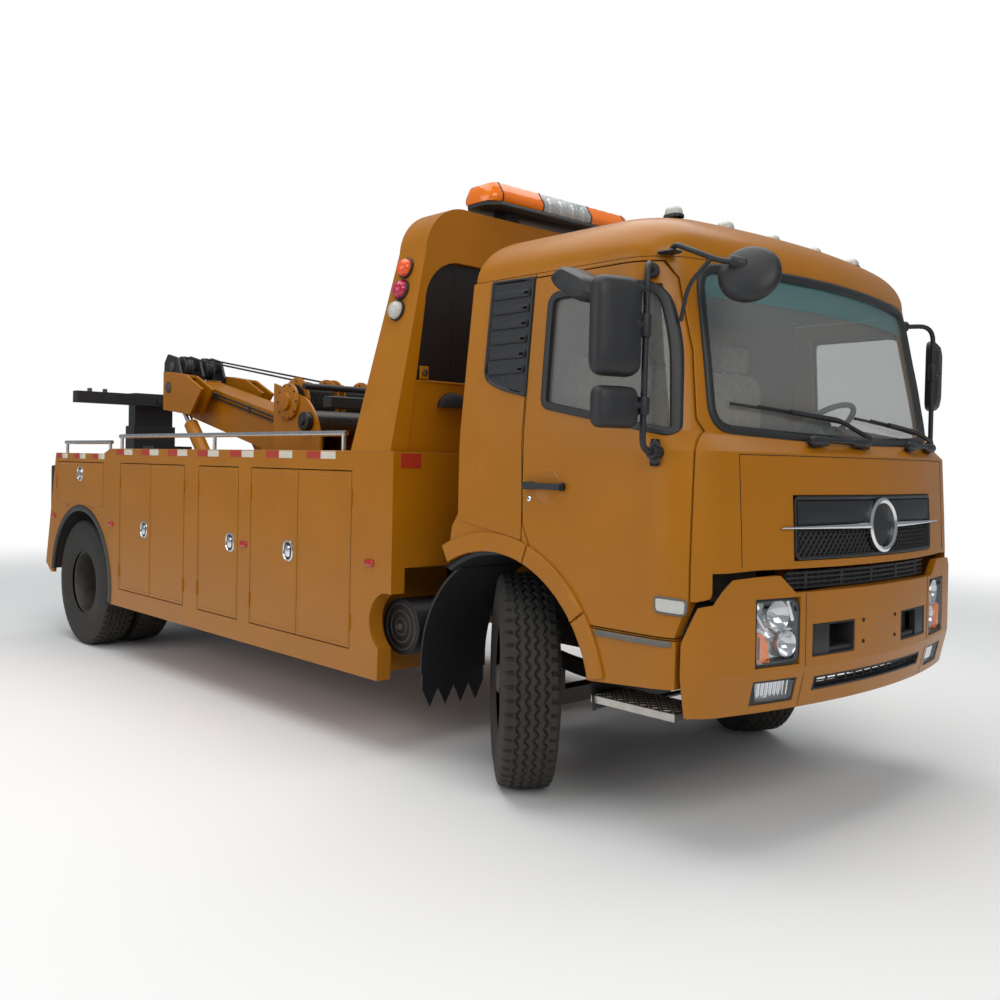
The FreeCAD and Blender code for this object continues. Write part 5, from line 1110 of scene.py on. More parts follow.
def make_headlamps():
    lamps = Maker("headlamps", "root", [PLASTIC, REFLECTOR, AMBER, LENS, CHROME], "lens", ["bumper_inserts"])
    glass = Maker("headlamp_covers", "root", [COVER], "glass")
    for sign in (-1, 1):
        loop = form(HEADLAMP, sign, [0.012, 0.05, 0.06, 0.012], 6, 0.03)
        moulding(lamps, loop, on_bumper, FRAME_PROFILE)
        moulding(lamps, offset(loop, -0.009), on_bumper, ((0, -0.052), (-0.004, -0.056)), 1, cap=True)
        for y, z, radius in BULBS:
            add_bulb(lamps, sign * y, z, radius)
        for bar in LAMP_BARS:
            lamps.tube(on_bumper(flip(bar, sign), -0.03), 0.009, 4, 8)
        amber = form(INDICATOR, sign, [0.008, 0.008, 0.03, 0.03, 0.008], 4, 0.02)
        moulding(lamps, amber, on_bumper, ((0, -0.05), (0, -0.02), (-0.006, -0.012), (-0.02, -0.009)), 2,
                 cap=True)
        moulding(glass, offset(loop, -0.005), on_bumper, ((0, -0.008), (-0.004, -0.002), (-0.03, 0.0)),
                 cap=True)

        fog = form(FOG_LAMP, sign, [0.008, 0.01, 0.02, 0.015], 4, 0.03)
        moulding(lamps, fog, on_bumper, ((0.006, -0.03), (0.004, -0.002), (-0.004, -0.001), (-0.008, -0.03)))
        moulding(lamps, offset(fog, -0.006), on_bumper, ((0, -0.028), (-0.004, -0.03)), 1, cap=True)
        for y in spread(0.635, 0.827, 8):
            lamps.tube(on_bumper(flip([(y, 0.634), (y + 0.008, 0.708)], sign), -0.022), 0.0035, 4, 6)
        moulding(glass, offset(fog, -0.004), on_bumper, ((0, -0.006), (-0.004, -0.002)), cap=True)
        corner = dense(flip(FOG_CORNER, sign), 0.03)
        moulding(lamps, corner, on_bumper, ((0, -0.02), (0, -0.0015)), cap=True)
    lamps.finish(sharp=45)
    glass.finish(sharp=60)


LIP_PROFILE = ((0.002, -0.03), (0.001, -0.001), (-0.004, 0.0), (-0.007, -0.008), (-0.007, -0.1))
SLOT_HALF = 0.65


def make_bumper_grilles():
    grille = Maker("bumper_grilles", "root", [PLASTIC, BLACK], "plastic_black")
    low = form(rectangle(-0.498, 0.652, 0.498, 0.71), 1, 0.02)
    moulding(grille, low, on_bumper, ((0.002, -0.045), (0.001, 0.0), (-0.006, 0.001), (-0.009, -0.012),
                                      (-0.009, -0.045)))
    for z in (0.667, 0.681, 0.695):
        grille.tube(on_bumper(way((-0.492, z), (0.492, z), 16), -0.02), 0.0035, 0, 6)
    for k in range(-6, 7):
        grille.tube(on_bumper([(k * 0.075, 0.655), (k * 0.075, 0.707)], -0.022), 0.0045, 0, 6)
    # tow openings: a flush cover over the outer part and a deep box over the inner part
    for sign in (-1, 1):
        loop = form(rectangle(0.527, 0.803, 0.223, 0.937), sign, 0.012, 3)
        moulding(grille, loop, on_bumper, LIP_PROFILE)
        cover = form(rectangle(0.522, 0.808, 0.408, 0.932), sign, 0.008, 3)
        plate(grille, cover, on_bumper, -0.03, -0.005, 0.004, -0.003)
        step = dense(flip(rectangle(0.405, 0.81, 0.228, 0.832), sign), 0.05)
        plate(grille, step, on_bumper, -0.06, -0.014, 0.003, -0.011)
        back = dense(flip(rectangle(0.405, 0.832, 0.35, 0.93), sign), 0.05)
        moulding(grille, back, on_bumper, ((0, -0.09), (0, -0.05)), 1, cap=True)
    # slotted grille on the shelf
    back = dense(rectangle(-SLOT_HALF, 1.082, SLOT_HALF, 1.164), 0.05)
    moulding(grille, back, on_bumper, ((0, -0.066), (0, -0.06)), 1, cap=True)
    for z in (1.094, 1.115, 1.136, 1.157):
        bar = dense(rectangle(-SLOT_HALF, z - 0.0075, SLOT_HALF, z + 0.0055), 0.05)
        plate(grille, bar, on_bumper, -0.06, -0.05, 0.002, -0.047)
    for k in range(-2, 3):
        post = dense(rectangle(k * 0.262 - 0.009, 1.084, k * 0.262 + 0.009, 1.164), 0.05)
        plate(grille, post, on_bumper, -0.06, -0.048, 0.003, -0.044)
    for k in range(-13, 14):
        grille.tube(on_bumper([(k * 0.048, 1.09), (k * 0.048, 1.16)], -0.056), 0.003, 0, 5)
    grille.finish(sharp=45)

    seams = Maker("bumper_seams", "root", [SEAM], "chassis_black")
    for y in (-0.575, 0.575):
        seams.tube(on_bumper(way((y, 1.076), (y, 0.592), 8)), 0.0016, 0, 5)
    for y, z in ((-0.15, 0.93), (0.15, 0.93), (-0.15, 0.835), (0.15, 0.835)):
        seams.lathe([(-0.002, 0.009), (0.003, 0.009), (0.005, 0.004), (0.005, 0.001)], on_bumper([(y, z)])[0],
                    bumper_normal(y, z), 0, 10)
    seams.finish()


# ---------------------------------------------------------------- mirrors
MIRROR_SWING = math.radians(17)
ARM_X = 0.97
ARM_Y = 1.292
KERB_CENTRE = Vector((0.66, 2.35))
DOME_CENTRE = Vector((1.225, -0.955, 2.371))
DOME_AXIS = Vector((0.35, -0.85, 0.38))
UP = (0, 0, 1)


def shell_box(maker, low, high, finish, glass_finish):
    """A mirror head: rounded front view, domed towards +x, flat glass towards -x."""
    (x0, y0, z0), (x1, y1, z1) = low, high
    outline = rounded(rectangle(y0, z0, y1, z1), min(y1 - y0, z1 - z0) * 0.28, 6)
    cy, cz = (y0 + y1) / 2, (z0 + z1) / 2
    spin = Matrix.Rotation(MIRROR_SWING, 3, "Z")
    hinge = Vector(((x0 + x1) / 2, y0, 0))

    def loop(x, wide, tall):
        """The outline at a station, shrunk about its centre and swung with the head."""
        return [hinge + spin @ (Vector((x, cy + (p[0] - cy) * wide, cz + (p[1] - cz) * tall)) - hinge)
                for p in outline]

    loops = [loop(x0 + (x1 - x0) * depth, share, share) for share, depth in
             ((0.96, 0.0), (1.0, 0.10), (1.0, 0.35), (0.97, 0.62), (0.88, 0.85), (0.7, 0.97), (0.35, 1.0))]
    maker.bands(loops, finish, ends=(False, True))
    rows = maker.bands([loop(x0, 0.96, 0.96), loop(x0 + 0.004, 0.93, 0.95)], finish)
    maker.face(rows[1], glass_finish)


def clamp(maker, centre, along, radius, length):
    along = Vector(along).normalized()
    maker.lathe([(0, 0.012), (0, radius * 0.9), (length * 0.12, radius), (length * 0.88, radius),
                 (length, radius * 0.9), (length, 0.012)], Vector(centre) - along * length / 2, along, 0, 14)


def add_kerb_mirror(maker):
    """The kerb mirror above the door, looking down."""
    maker.tube(bent([(0.66, 1.135, 2.375), (0.66, 1.24, 2.385), (0.66, 1.30, 2.37)], 0.04), 0.014, 0, 10)
    outline = rounded([(0.525, 2.395), (0.60, 2.436), (0.755, 2.36), (0.796, 2.272), (0.70, 2.268),
                       (0.562, 2.345)], 0.03, 4)
    x, z = KERB_CENTRE
    maker.bands([[(x + (p[0] - x) * share, y, z + (p[1] - z) * share) for p in outline] for share, y in
                 ((0.9, 1.252), (1.0, 1.268), (1.0, 1.36), (0.93, 1.395), (0.75, 1.416), (0.4, 1.419))],
                0, ends=(True, True))


def make_mirrors():
    for side, sign in SIDES:
        mirror = Maker(f"mirror_arms_{side}", f"door_{side}", [PLASTIC, GLASSY], "plastic_black",
                       [f"door_mirror_{side}"],
                       Matrix.Translation((AXLE_X, 0, 0)) @ Matrix.Diagonal((1, sign, 1, 1)))
        mirror.tube(bent([(0.86, 1.115, 2.412), (ARM_X, 1.285, 2.425), (ARM_X, ARM_Y, 1.66),
                          (0.972, 1.18, 1.655)], 0.09), 0.013, 0, 12)
        clamp(mirror, (0.868, 1.125, 2.413), (0.55, 0.83, 0.05), 0.03, 0.05)
        mirror.box((0.945, 1.196, 1.60), (0.995, 1.224, 1.71), 0, 0.012)
        clamp(mirror, (0.972, 1.21, 1.655), (0, 1, 0), 0.028, 0.06)
        shell_box(mirror, (0.925, 1.305, 1.952), (0.994, 1.528, 2.348), 0, 1)
        mirror.tube([(ARM_X, ARM_Y, 2.16), (0.975, 1.36, 2.16)], 0.016, 0, 10)
        clamp(mirror, (ARM_X, ARM_Y, 2.16), UP, 0.024, 0.09)
        mirror.tube([(ARM_X, ARM_Y, 2.30), (0.975, 1.34, 2.30)], 0.012, 0, 10)
        if side == "right":
            shell_box(mirror, (0.925, 1.317, 1.747), (0.994, 1.519, 1.914), 0, 1)
            mirror.tube([(ARM_X, ARM_Y, 1.84), (0.975, 1.36, 1.84)], 0.014, 0, 10)
            clamp(mirror, (ARM_X, ARM_Y, 1.84), UP, 0.024, 0.07)
            add_kerb_mirror(mirror)
        mirror.finish(sharp=40)

    dome = Maker("front_mirror_dome", "cab", [PLASTIC, GLASSY], "plastic_black", ["front_mirror"])
    dome.lathe([(-0.012, 0.001), (-0.012, 0.116), (0.0, 0.124), (0.018, 0.125), (0.032, 0.118), (0.044, 0.1),
                (0.052, 0.066), (0.056, 0.024), (0.057, 0.001)], DOME_CENTRE, DOME_AXIS, 0, 40)
    dome.lathe([(-0.013, 0.105), (-0.022, 0.07), (-0.026, 0.001)], DOME_CENTRE, DOME_AXIS, 1, 40)
    crown = DOME_CENTRE + DOME_AXIS.normalized() * 0.05 + Vector((-0.045, -0.005, 0.03))
    dome.tube(bent([crown, (1.14, -1.06, 2.43), (1.06, -1.09, 2.47), (0.955, -1.088, 2.515),
                    (0.915, -1.07, 2.496)], 0.05), 0.0115, 0, 10)
    dome.tube(bent([(1.12, -1.07, 2.44), (1.02, -1.085, 2.34), (0.975, -1.068, 2.20)], 0.05), 0.009, 0, 10)
    clamp(dome, crown, (0.6, 0.5, -0.2), 0.026, 0.06)
    dome.box((0.865, -1.10, 2.485), (0.955, -1.035, 2.5), 0, 0.006)
    dome.finish(sharp=40)


# ---------------------------------------------------------------- cab sides and roof
CAB_HALF = 1.2
FLARE = ((0, 0.0), (0, 0.011), (-0.005, 0.015))
FLARE_RADII = (0.652, 0.742)
# radius and inset of the dark lip inside the front wheel arch
ARCH_LIP = ((0.649, 0.0), (0.649, -0.03), (0.632, -0.045), (0.632, -0.2), (0.632, -0.4), (0.632, -0.58))
LOCK = (0.252, 1.44)
REAR_SEAM_X = 0.203


def arc(radius, start, end, count, x=0.0):
    """Points on an arc about a wheel's centre, side view, between two angles in degrees."""
    return [(x + radius * math.cos(math.radians(a)), TYRE_RADIUS + radius * math.sin(math.radians(a)))
            for a in spread(start, end, count)]


def arc_band(start, end):
    """The closed outline of a stretch of the front wheel arch's flare."""
    inner, outer = FLARE_RADII
    return arc(outer, start, end, 24) + arc(inner, end, start, 24)


def make_door_fittings(side, sign):
    """Handle over its dished ring, lock, side lamp and the door's stretch of the flare."""
    surface = side_surface(sign)
    door = Maker(f"door_fittings_{side}", f"door_{side}", [PLASTIC, CHROME, TRIM, MILKY, PAINT],
                 "plastic_black")
    moulding(door, circle(0.362, 1.498, 0.072, 32), surface,
             ((0.012, 0.0), (0.006, 0.0035), (0.0, 0.0035), (-0.006, 0.0012)), 4, cap=True)
    for x0, x1, high in ((0.228, 0.292, 0.032), (0.44, 0.474, 0.026)):
        pad = rounded(rectangle(x0, 1.482, x1, 1.518), 0.014, 4)
        plate(door, pad, surface, 0.0, high - 0.006, 0.006, high)
    grip = form(rectangle(0.235, 1.485, 0.472, 1.514), 1, 0.012, 4, 0.04)
    moulding(door, grip, surface, ((-0.004, 0.022), (0, 0.026), (0, 0.036), (-0.006, 0.041)), cap=True)
    moulding(door, grip[::-1], surface, ((-0.004, 0.022), (-0.006, 0.021)), cap=True)
    plate(door, circle(*LOCK, 0.013), surface, 0, 0.004, 0.004, 0.006, 1)
    moulding(door, circle(*LOCK, 0.004, 8), surface, ((0, 0.006), (-0.001, 0.007)), cap=True)
    lamp = form([(0.979, 1.072), (1.10, 1.065), (1.098, 1.001), (0.984, 1.010)], 1, 0.018, 3, 0.02)
    moulding(door, lamp, surface, ((0.004, 0), (0.004, 0.006), (0.0, 0.009), (-0.004, 0.006)), 2)
    moulding(door, lamp, surface, ((-0.004, 0.004), (-0.006, 0.010), (-0.010, 0.012)), 3, cap=True)
    moulding(door, arc_band(36, 70), surface, FLARE, 4, cap=True)
    door.finish(sharp=40)


def make_cab_side_trim(side, sign):
    """Louvre behind the door, step strip, fixed stretches of the flare, arch lip and crease."""
    surface = side_surface(sign)
    trim = Maker(f"cab_side_trim_{side}", "cab", [PLASTIC, TRIM, PAINT], "plastic_black")
    louvre = form([(-0.088, 2.474), (0.194, 2.468), (0.203, 1.908), (0.03, 1.945), (-0.092, 2.0)], 1,
                  [0.01, 0.01, 0.02, 0.09, 0.05], 5, 0.06)
    moulding(trim, louvre, surface, ((0.002, 0.0), (0.0, 0.008), (-0.006, 0.010), (-0.016, 0.003)), cap=True)
    for k in range(6):
        z = 2.02 + k * 0.072
        slat = form(rectangle(-0.068, z, 0.178, z + 0.034), 1, 0.01, 3)
        plate(trim, slat, surface, 0.003, 0.010, 0.012, 0.014)
    plate(trim, dense(rectangle(0.665, 0.870, 1.05, 0.894), 0.03), surface, 0, 0.006, 0.004, 0.008, 1)
    for k in range(24):
        x = 0.676 + k * 0.0158
        moulding(trim, rectangle(x, 0.875, x + 0.006, 0.89), surface, ((0, 0.007), (-0.001, 0.0105)), 1,
                 cap=True)
    moulding(trim, arc_band(70.6, 118), surface, FLARE, 2, cap=True)
    moulding(trim, arc_band(13, 35.4), surface, FLARE, 2, cap=True)
    trim.bands([[(x, sign * (CAB_HALF + inset - 0.012), z) for x, z in arc(radius, 1, 124, 40)]
                for radius, inset in ARCH_LIP], 0, closed=False)
    crease = form([(-0.252, 1.335), (0.2, 1.262), (0.2, 1.245), (-0.252, 1.318)], 1, 0.004, 2)
    moulding(trim, crease, surface, ((0, 0), (-0.003, 0.005)), 2, cap=True)
    trim.finish(sharp=40)


def make_cab_sides():
    for side, sign in SIDES:
        make_door_fittings(side, sign)
        make_cab_side_trim(side, sign)
        seams = Maker(f"cab_seams_{side}", "cab", [SEAM], "chassis_black")
        seams.tube(on_side(way((REAR_SEAM_X, 2.478), (REAR_SEAM_X, 1.20), 12), sign, 0.0005), 0.0022, 0, 5)
        seams.finish()


def roof_height(x, y):
    """Height of the roof shell above a point, by its shoulder's curve."""
    _, half, rear, _ = row_at(CAB_ROWS, SEAM_Z)
    reach = min((front_x(CAB_ROWS, CAB_CORNER, y, SEAM_Z) - x) / ROOF_DRAW, (half - abs(y)) / ROOF_DRAW,
                (x - rear) / ROOF_REAR_DRAW)
    share = min(1.0, max(0.0, reach / ROOF_SHOULDER))
    return SEAM_Z + ROOF_RISE * math.sin(min(math.acos(1 - share), ROOF_SWEEP))


ROOF_LAMP_X = 0.72
ROOF_LAMPS_Y = (-0.80, -0.40, 0.0, 0.40, 0.80)
# share of the outline and rise, for the lamp's base and for its lens
LAMP_BASE = ((1.0, 0.0), (1.0, 0.012), (0.92, 0.016))
LAMP_LENS = ((0.88, 0.014), (0.86, 0.03), (0.72, 0.044), (0.45, 0.052), (0.2, 0.054))
# side shift and rise across a roof rib
RIB = ((-0.022, -0.002), (-0.010, 0.007), (0.010, 0.007), (0.022, -0.002))


def make_roof_lamps():
    lamps = Maker("roof_lamps", "cab", [PLASTIC, MILKY], "lens")
    x = ROOF_LAMP_X
    for y in ROOF_LAMPS_Y:
        base = roof_height(x, y) - 0.002
        outline = rounded(rectangle(x - 0.042, y - 0.034, x + 0.048, y + 0.034), 0.03, 5)
        for finish, steps in enumerate((LAMP_BASE, LAMP_LENS)):
            lamps.bands([[(x + (p[0] - x) * share, y + (p[1] - y) * share, base + rise) for p in outline]
                         for share, rise in steps], finish, ends=(False, True))
    lamps.finish(sharp=40)
    ribs = Maker("roof_ribs", "cab", [PAINT], "paint")
    for y in (-0.62, 0.62):
        ribs.bands([[(x, y + shift, roof_height(x, y) + rise) for shift, rise in RIB]
                    for x in spread(-0.12, 0.74, 14)], 0, ends=(True, True))
    ribs.finish(sharp=50)


# ---------------------------------------------------------------- service body
BODY_Y = 1.25
BODY_TOP = 1.65
BODY_REAR_TOP = 1.61
# name, rear and front edge, hinged edge, latch's distance from the front edge (none on the second leaf)
LEAVES = (("a", -4.198, -3.654, "rear", 0.10), ("b", -3.648, -3.104, "front", None),
          ("c", -2.89, -2.345, "rear", 0.095), ("d", -2.18, -1.634, "rear", 0.095),
          ("e", -1.628, -1.082, "front", None))
LEAF_Z = (0.557, 1.536)
FLAP = (-5.537, 1.18, -4.533, 1.533)
PRESSING = ((0.0, 0.0), (-0.003, 0.0022), (-0.008, 0.0022), (-0.011, 0.0))
PRESSING_INSET = 0.012
STRIP_HEIGHT = 0.046
MARKERS = ((-5.62, 1.059), (-4.366, 1.053), (-2.262, 1.047), (-0.905, 1.046))
ARCH_RADIUS = 0.6225
ARCH_DEPTH_Y = 0.64
# radius and lift of the rubber lip round the rear wheel arch
REAR_LIP = ((0.6225, -0.03), (0.602, -0.012), (0.602, 0.004), (0.610, 0.010), (0.644, 0.010), (0.652, 0.003),
            (0.652, -0.002))


def flat_side(sign):
    """The surface function of the body's flat flank."""
    return lambda points, lift: [Vector((x, sign * (BODY_Y + lift), z)) for x, z in points]


def add_latch(maker, surface, x, z):
    """An oval paddle latch: ring, dished cup and paddle."""
    oval = rounded(rectangle(x - 0.056, z - 0.064, x + 0.056, z + 0.064), 0.06, 6)
    moulding(maker, oval, surface, ((0.0, 0.0), (0.0, 0.004), (-0.004, 0.008), (-0.011, 0.008),
                                    (-0.014, 0.002)), 0)
    moulding(maker, offset(oval, -0.013), surface, ((0, 0.003), (-0.004, 0.0015)), 1, cap=True)
    paddle = rounded(rectangle(x - 0.027, z - 0.036, x + 0.027, z + 0.034), 0.018, 4)
    plate(maker, paddle, surface, 0.002, 0.006, 0.004, 0.009, 0)


def add_pressing(maker, surface, rear, low, front, high):
    """The shallow pressed frame inside a leaf's edges."""
    inner = rounded(rectangle(rear + PRESSING_INSET, low + PRESSING_INSET, front - PRESSING_INSET,
                              high - PRESSING_INSET), 0.01, 3)
    moulding(maker, inner, surface, PRESSING, 2)


def make_leaf_fittings(side, sign):
    surface = flat_side(sign)
    for leaf, rear, front, _, latch in LEAVES:
        fittings = Maker(f"leaf_fittings_{leaf}_{side}", f"locker_{leaf}_{side}", [CHROME, PLASTIC, PAINT],
                         "rail_steel")
        if latch:
            add_latch(fittings, surface, front - latch, 1.047)
        add_pressing(fittings, surface, rear, LEAF_Z[0], front, LEAF_Z[1])
        fittings.finish(sharp=40)
    flap = Maker(f"flap_fittings_{side}", f"flap_{side}", [CHROME, PLASTIC, PAINT], "rail_steel")
    add_latch(flap, surface, -5.02, 1.44)
    add_pressing(flap, surface, *FLAP)
    flap.finish(sharp=40)


def make_body_trim(side, sign):
    """Hinges, seams, reflective strips, marker lamps, arch lip and liner, and the top edge."""
    surface = flat_side(sign)
    trim = Maker(f"body_trim_{side}", "root", [PAINT, SEAM, BLACK, RED, WHITE, MARKER], "paint")
    for _, rear, front, hinge, _ in LEAVES:
        x = rear if hinge == "rear" else front
        for z in (0.70, 1.39):
            trim.lathe([(-0.045, 0.001), (-0.045, 0.0075), (-0.001, 0.0075), (0.0, 0.006), (0.001, 0.0075),
                        (0.045, 0.0075), (0.045, 0.001)], (x, sign * (BODY_Y + 0.004), z), (0, 0, 1), 0, 10)
        trim.tube([(x, sign * (BODY_Y + 0.0002), z) for z in LEAF_Z], 0.0013, 1, 5)
    for x in (-5.30, -4.78):
        trim.lathe([(-0.04, 0.001), (-0.04, 0.006), (0.04, 0.006), (0.04, 0.001)],
                   (x, sign * (BODY_Y + 0.001), FLAP[1] - 0.016), (1, 0, 0), 0, 10)
    # reflective strips, red then white
    strips = [(-5.55 + 0.40 * k, 1.566, 0.12) for k in range(3)]
    strips += [(-4.277 + 0.4555 * k, 1.604, 0.15) for k in range(7)]
    for x, z, length in strips:
        for start, finish in ((x, 3), (x + length, 4)):
            plate(trim, rectangle(start, z, start + length, z + STRIP_HEIGHT), surface,
                  0, 0.0012, 0.001, 0.0015, finish)
    for x, z in MARKERS:
        moulding(trim, rounded(rectangle(x - 0.042, z - 0.02, x + 0.042, z + 0.02), 0.018, 5), surface,
                 ((0, 0), (0, 0.006), (-0.006, 0.011), (-0.016, 0.013)), 5, cap=True)
    moulding(trim, rectangle(-5.562, 1.30, -5.545, 1.43), surface, ((0, 0), (0, 0.0015)), 3, cap=True)
    # lip round the rear arch and the liner inside it
    trim.bands([[(x, sign * (BODY_Y + lift), z) for x, z in arc(radius, -9, 174, 60, REAR_AXLE_X)]
                for radius, lift in REAR_LIP], 2, closed=False)
    trim.bands([[(x, sign * y, z) for x, z in arc(ARCH_RADIUS, -9, 174, 48, REAR_AXLE_X)]
                for y in (BODY_Y - 0.002, ARCH_DEPTH_Y)], 2, closed=False)
    top = ((-0.712, BODY_TOP), (-4.4, BODY_TOP), (-4.53, BODY_REAR_TOP), (-5.578, BODY_REAR_TOP))
    trim.tube([(x, sign * (BODY_Y - 0.004), z - 0.004) for x, z in top], 0.006, 0, 8)
    trim.finish(sharp=40)


def make_body_sides():
    for side, sign in SIDES:
        make_leaf_fittings(side, sign)
        make_body_trim(side, sign)
    front_plate = Maker("body_front_plates", "root", [RED], "paint")
    front_plate.box((-0.7105, -1.20, 1.563), (-0.7085, -1.062, 1.640), 0, 0.0008)
    front_plate.finish()


# ---------------------------------------------------------------- tower and light bar
TOWER_X = -0.74
TOWER_LEAN = 0.2
OPENING_SPRING_Z = 2.46
OPENING_LOW_Z = 2.041
OPENING_TOP_Z = 2.697
LUG = (1.03, 2.08)
VENT = (0.82, 1.90)
# height and finish of the lamps on each tower leg
TOWER_LAMPS = ((2.655, 1), (2.535, 2), (2.42, 3))


def tower_opening_shade_sheet():
    """The arched opening between the tower's legs, as an outline across the truck; a black sheet of painted shade is
    drawn to it.
    """
    def jamb(z):
        return BODY_Y - 0.0005 - TOWER_LEAN * (z - BODY_TOP - 0.0005) - 0.058

    top_y = jamb(OPENING_SPRING_Z)
    share = (OPENING_LOW_Z - BODY_TOP) / (OPENING_SPRING_Z - BODY_TOP)
    low_y = (1 - share) * (jamb(BODY_TOP) - 0.06) + share * top_y
    half = [(low_y - 0.002, OPENING_LOW_Z), (top_y - 0.002, OPENING_SPRING_Z), (top_y - 0.024, OPENING_TOP_Z)]
    return rounded(half + [(0.0, OPENING_TOP_Z)] + flip(half[::-1], -1),
                   [0.002, 0.05, 0.20, 0.0, 0.20, 0.05, 0.002], 8)


def make_tower_fittings():
    tower = Maker("tower_fittings", "root", [BLACK_SCREENS_AND_PAINTED_SHADE, ORANGE, MAGENTA, MILKY, PLASTIC, PAINT, STEEL],
                  "plastic_black")
    # A black sheet with upright bars fills the open arch between the tower's legs: painted shade, standing for the
    # dark seen through an opening that the real tower leaves open.
    tower.bands([[(x, y, z) for y, z in tower_opening_shade_sheet()] for x in (TOWER_X - 0.0385, TOWER_X - 0.0215)], 0,
                ends=(True, True))
    for k in range(-4, 5):
        y = k * 0.2
        tower.box((TOWER_X - 0.0215, y - 0.006, 2.06), (TOWER_X - 0.0185, y + 0.006, 2.66), 0, 0.001)
    for sign in (-1, 1):
        normal = Vector((0, sign, TOWER_LEAN)).normalized()
        for z, finish in TOWER_LAMPS:
            depth = 0.36 - 0.125 * (z - BODY_TOP) / 1.1
            base = Vector((TOWER_X - depth * 0.42 - 0.04, sign * (BODY_Y - TOWER_LEAN * (z - BODY_TOP)), z))
            tower.lathe([(-0.002, 0.058), (0.012, 0.058), (0.016, 0.052)], base, normal, 4, 28)
            tower.lathe([(0.008, 0.051), (0.03, 0.048), (0.045, 0.036), (0.052, 0.015), (0.053, 0.001)], base,
                        normal, finish, 28)
        # eye lug
        y, z = sign * LUG[0], LUG[1]
        tower.box((TOWER_X - 0.006, y - 0.03, z - 0.035), (TOWER_X + 0.004, y + 0.03, z + 0.035), 5, 0.002)
        tower.lathe([(0.0, 0.018), (0.012, 0.018), (0.014, 0.012), (0.002, 0.012)], (TOWER_X + 0.002, y, z),
                    (1, 0, 0), 6, 16)
        # half-round vent
        y, z = sign * VENT[0], VENT[1]
        half_round = [(0.11 * math.cos(a), 0.085 * math.sin(a)) for a in spread(0, math.pi, 12)]
        tower.bands([[(TOWER_X + reach, y + wide * p, z + tall * q) for p, q in half_round]
                     for reach, wide, tall in ((-0.008, 1, 1), (0.02, 0.96, 0.9), (0.034, 0.7, 0.6))],
                    4, ends=(False, True))
    # stiffening fold along the sill's top
    tower.box((TOWER_X - 0.034, -1.06, 2.028), (TOWER_X - 0.002, 1.06, 2.042), 5, 0.003)
    tower.finish(sharp=40)


BAR_X = -0.80
BAR_FOOT_Z = 3.0
BAR_BASE_Z = 3.05
BAR_DEPTH = 0.135
BAR_HALF = 0.62
# half depth and height over the base, up one side of the lenses
BAR_SECTION = ((BAR_DEPTH - 0.012, 0.03), (BAR_DEPTH, 0.045), (BAR_DEPTH, 0.075), (BAR_DEPTH - 0.046, 0.144))


def bar_section(y, draw_in):
    """A loop across the light bar's lenses, drawn in towards the middle of their foot."""
    profile = [(-d, h) for d, h in BAR_SECTION] + [(d, h) for d, h in reversed(BAR_SECTION)]
    return [(BAR_X + d * draw_in, y, BAR_BASE_Z + 0.03 + (h - 0.03) * draw_in) for d, h in profile]


def make_light_bar():
    bar = Maker("light_bar_lenses", "root", [AMBER, LENS, BLACK, CHROME, PLASTIC], "amber", ["light_bar"])
    both = (True, True)
    for y0, y1, finish in ((-0.535, -0.215, 0), (-0.205, 0.205, 1), (0.215, 0.535, 0)):
        bar.bands([bar_section(y, 0.985 if k % 2 else 1.0) for k, y in enumerate(spread(y0, y1, 8))], finish,
                  ends=both)
    for sign in (-1, 1):
        bar.bands([bar_section(sign * y, draw_in) for y, draw_in in
                   ((0.54, 1.0), (0.58, 0.95), (0.61, 0.78), (0.619, 0.55))], 0, ends=both)
        for y in (0.21, 0.5375):
            bar.bands([bar_section(sign * y + shift, 1.01) for shift in (-0.005, 0.005)], 2, ends=both)
    # tray under the lenses, with cut corners
    d, w, cut = BAR_DEPTH, BAR_HALF, 0.06
    plan = [(d, cut - w), (d, w - cut), (d - cut, w), (cut - d, w), (-d, w - cut), (-d, cut - w),
            (cut - d, -w), (d - cut, -w)]
    bar.bands([[(BAR_X + p * share, q * share, BAR_BASE_Z + rise) for p, q in plan] for share, rise in
               ((0.96, 0), (1.0, 0.006), (1.0, 0.026), (0.97, 0.031))], 2, ends=both)
    # ribbed feet
    for y in (-0.38, 0.38):
        for k in range(5):
            z = BAR_FOOT_Z + 0.001 + k * 0.0098
            wide = 0.05 if k % 2 == 0 else 0.043
            bar.box((BAR_X - 0.06, y - wide, z), (BAR_X + 0.06, y + wide, z + 0.0092), 4, 0.002)
    # lamp units that show through the lenses
    for k in range(-5, 6):
        for way_x in (1, -1):
            bar.lathe([(0.0, 0.034), (0.02, 0.034), (0.034, 0.02), (0.04, 0.001)],
                      (BAR_X + way_x * 0.02, k * 0.1, BAR_BASE_Z + 0.085), (way_x, 0, 0.1), 3, 16)
    bar.finish(sharp=40)


# ---------------------------------------------------------------- recovery gear
PIVOT = Vector((-2.85, 0, 1.4))
SLOPE = math.radians(12.5)
BOOM_REAR = 2.56
BOOM_TIP_LOW = 0.08
DRUM = Vector((-3.18, 0, 2.035))
GEARBOX_Y = 0.3605
WINDING_TURNS = 15
WINDING_STEPS = 6
SHEAVE_Y = 0.11
SHEAVE_RADIUS = 0.106
HOOK_DROP = 0.03
ROPE_STRANDS = 6
ROPE_TURNS = 22
ROPE_STEPS = 240
ACROSS = (0, 1, 0)


def on_boom(along, up, y=0.0):
    """A point in the boom's own axes: along it to the rear, up from its pivot."""
    return Vector((PIVOT.x - along * math.cos(SLOPE) + up * math.sin(SLOPE), y,
                   PIVOT.z + along * math.sin(SLOPE) + up * math.cos(SLOPE)))


SHEAVE = on_boom(BOOM_REAR + 0.2, BOOM_TIP_LOW + 0.37)


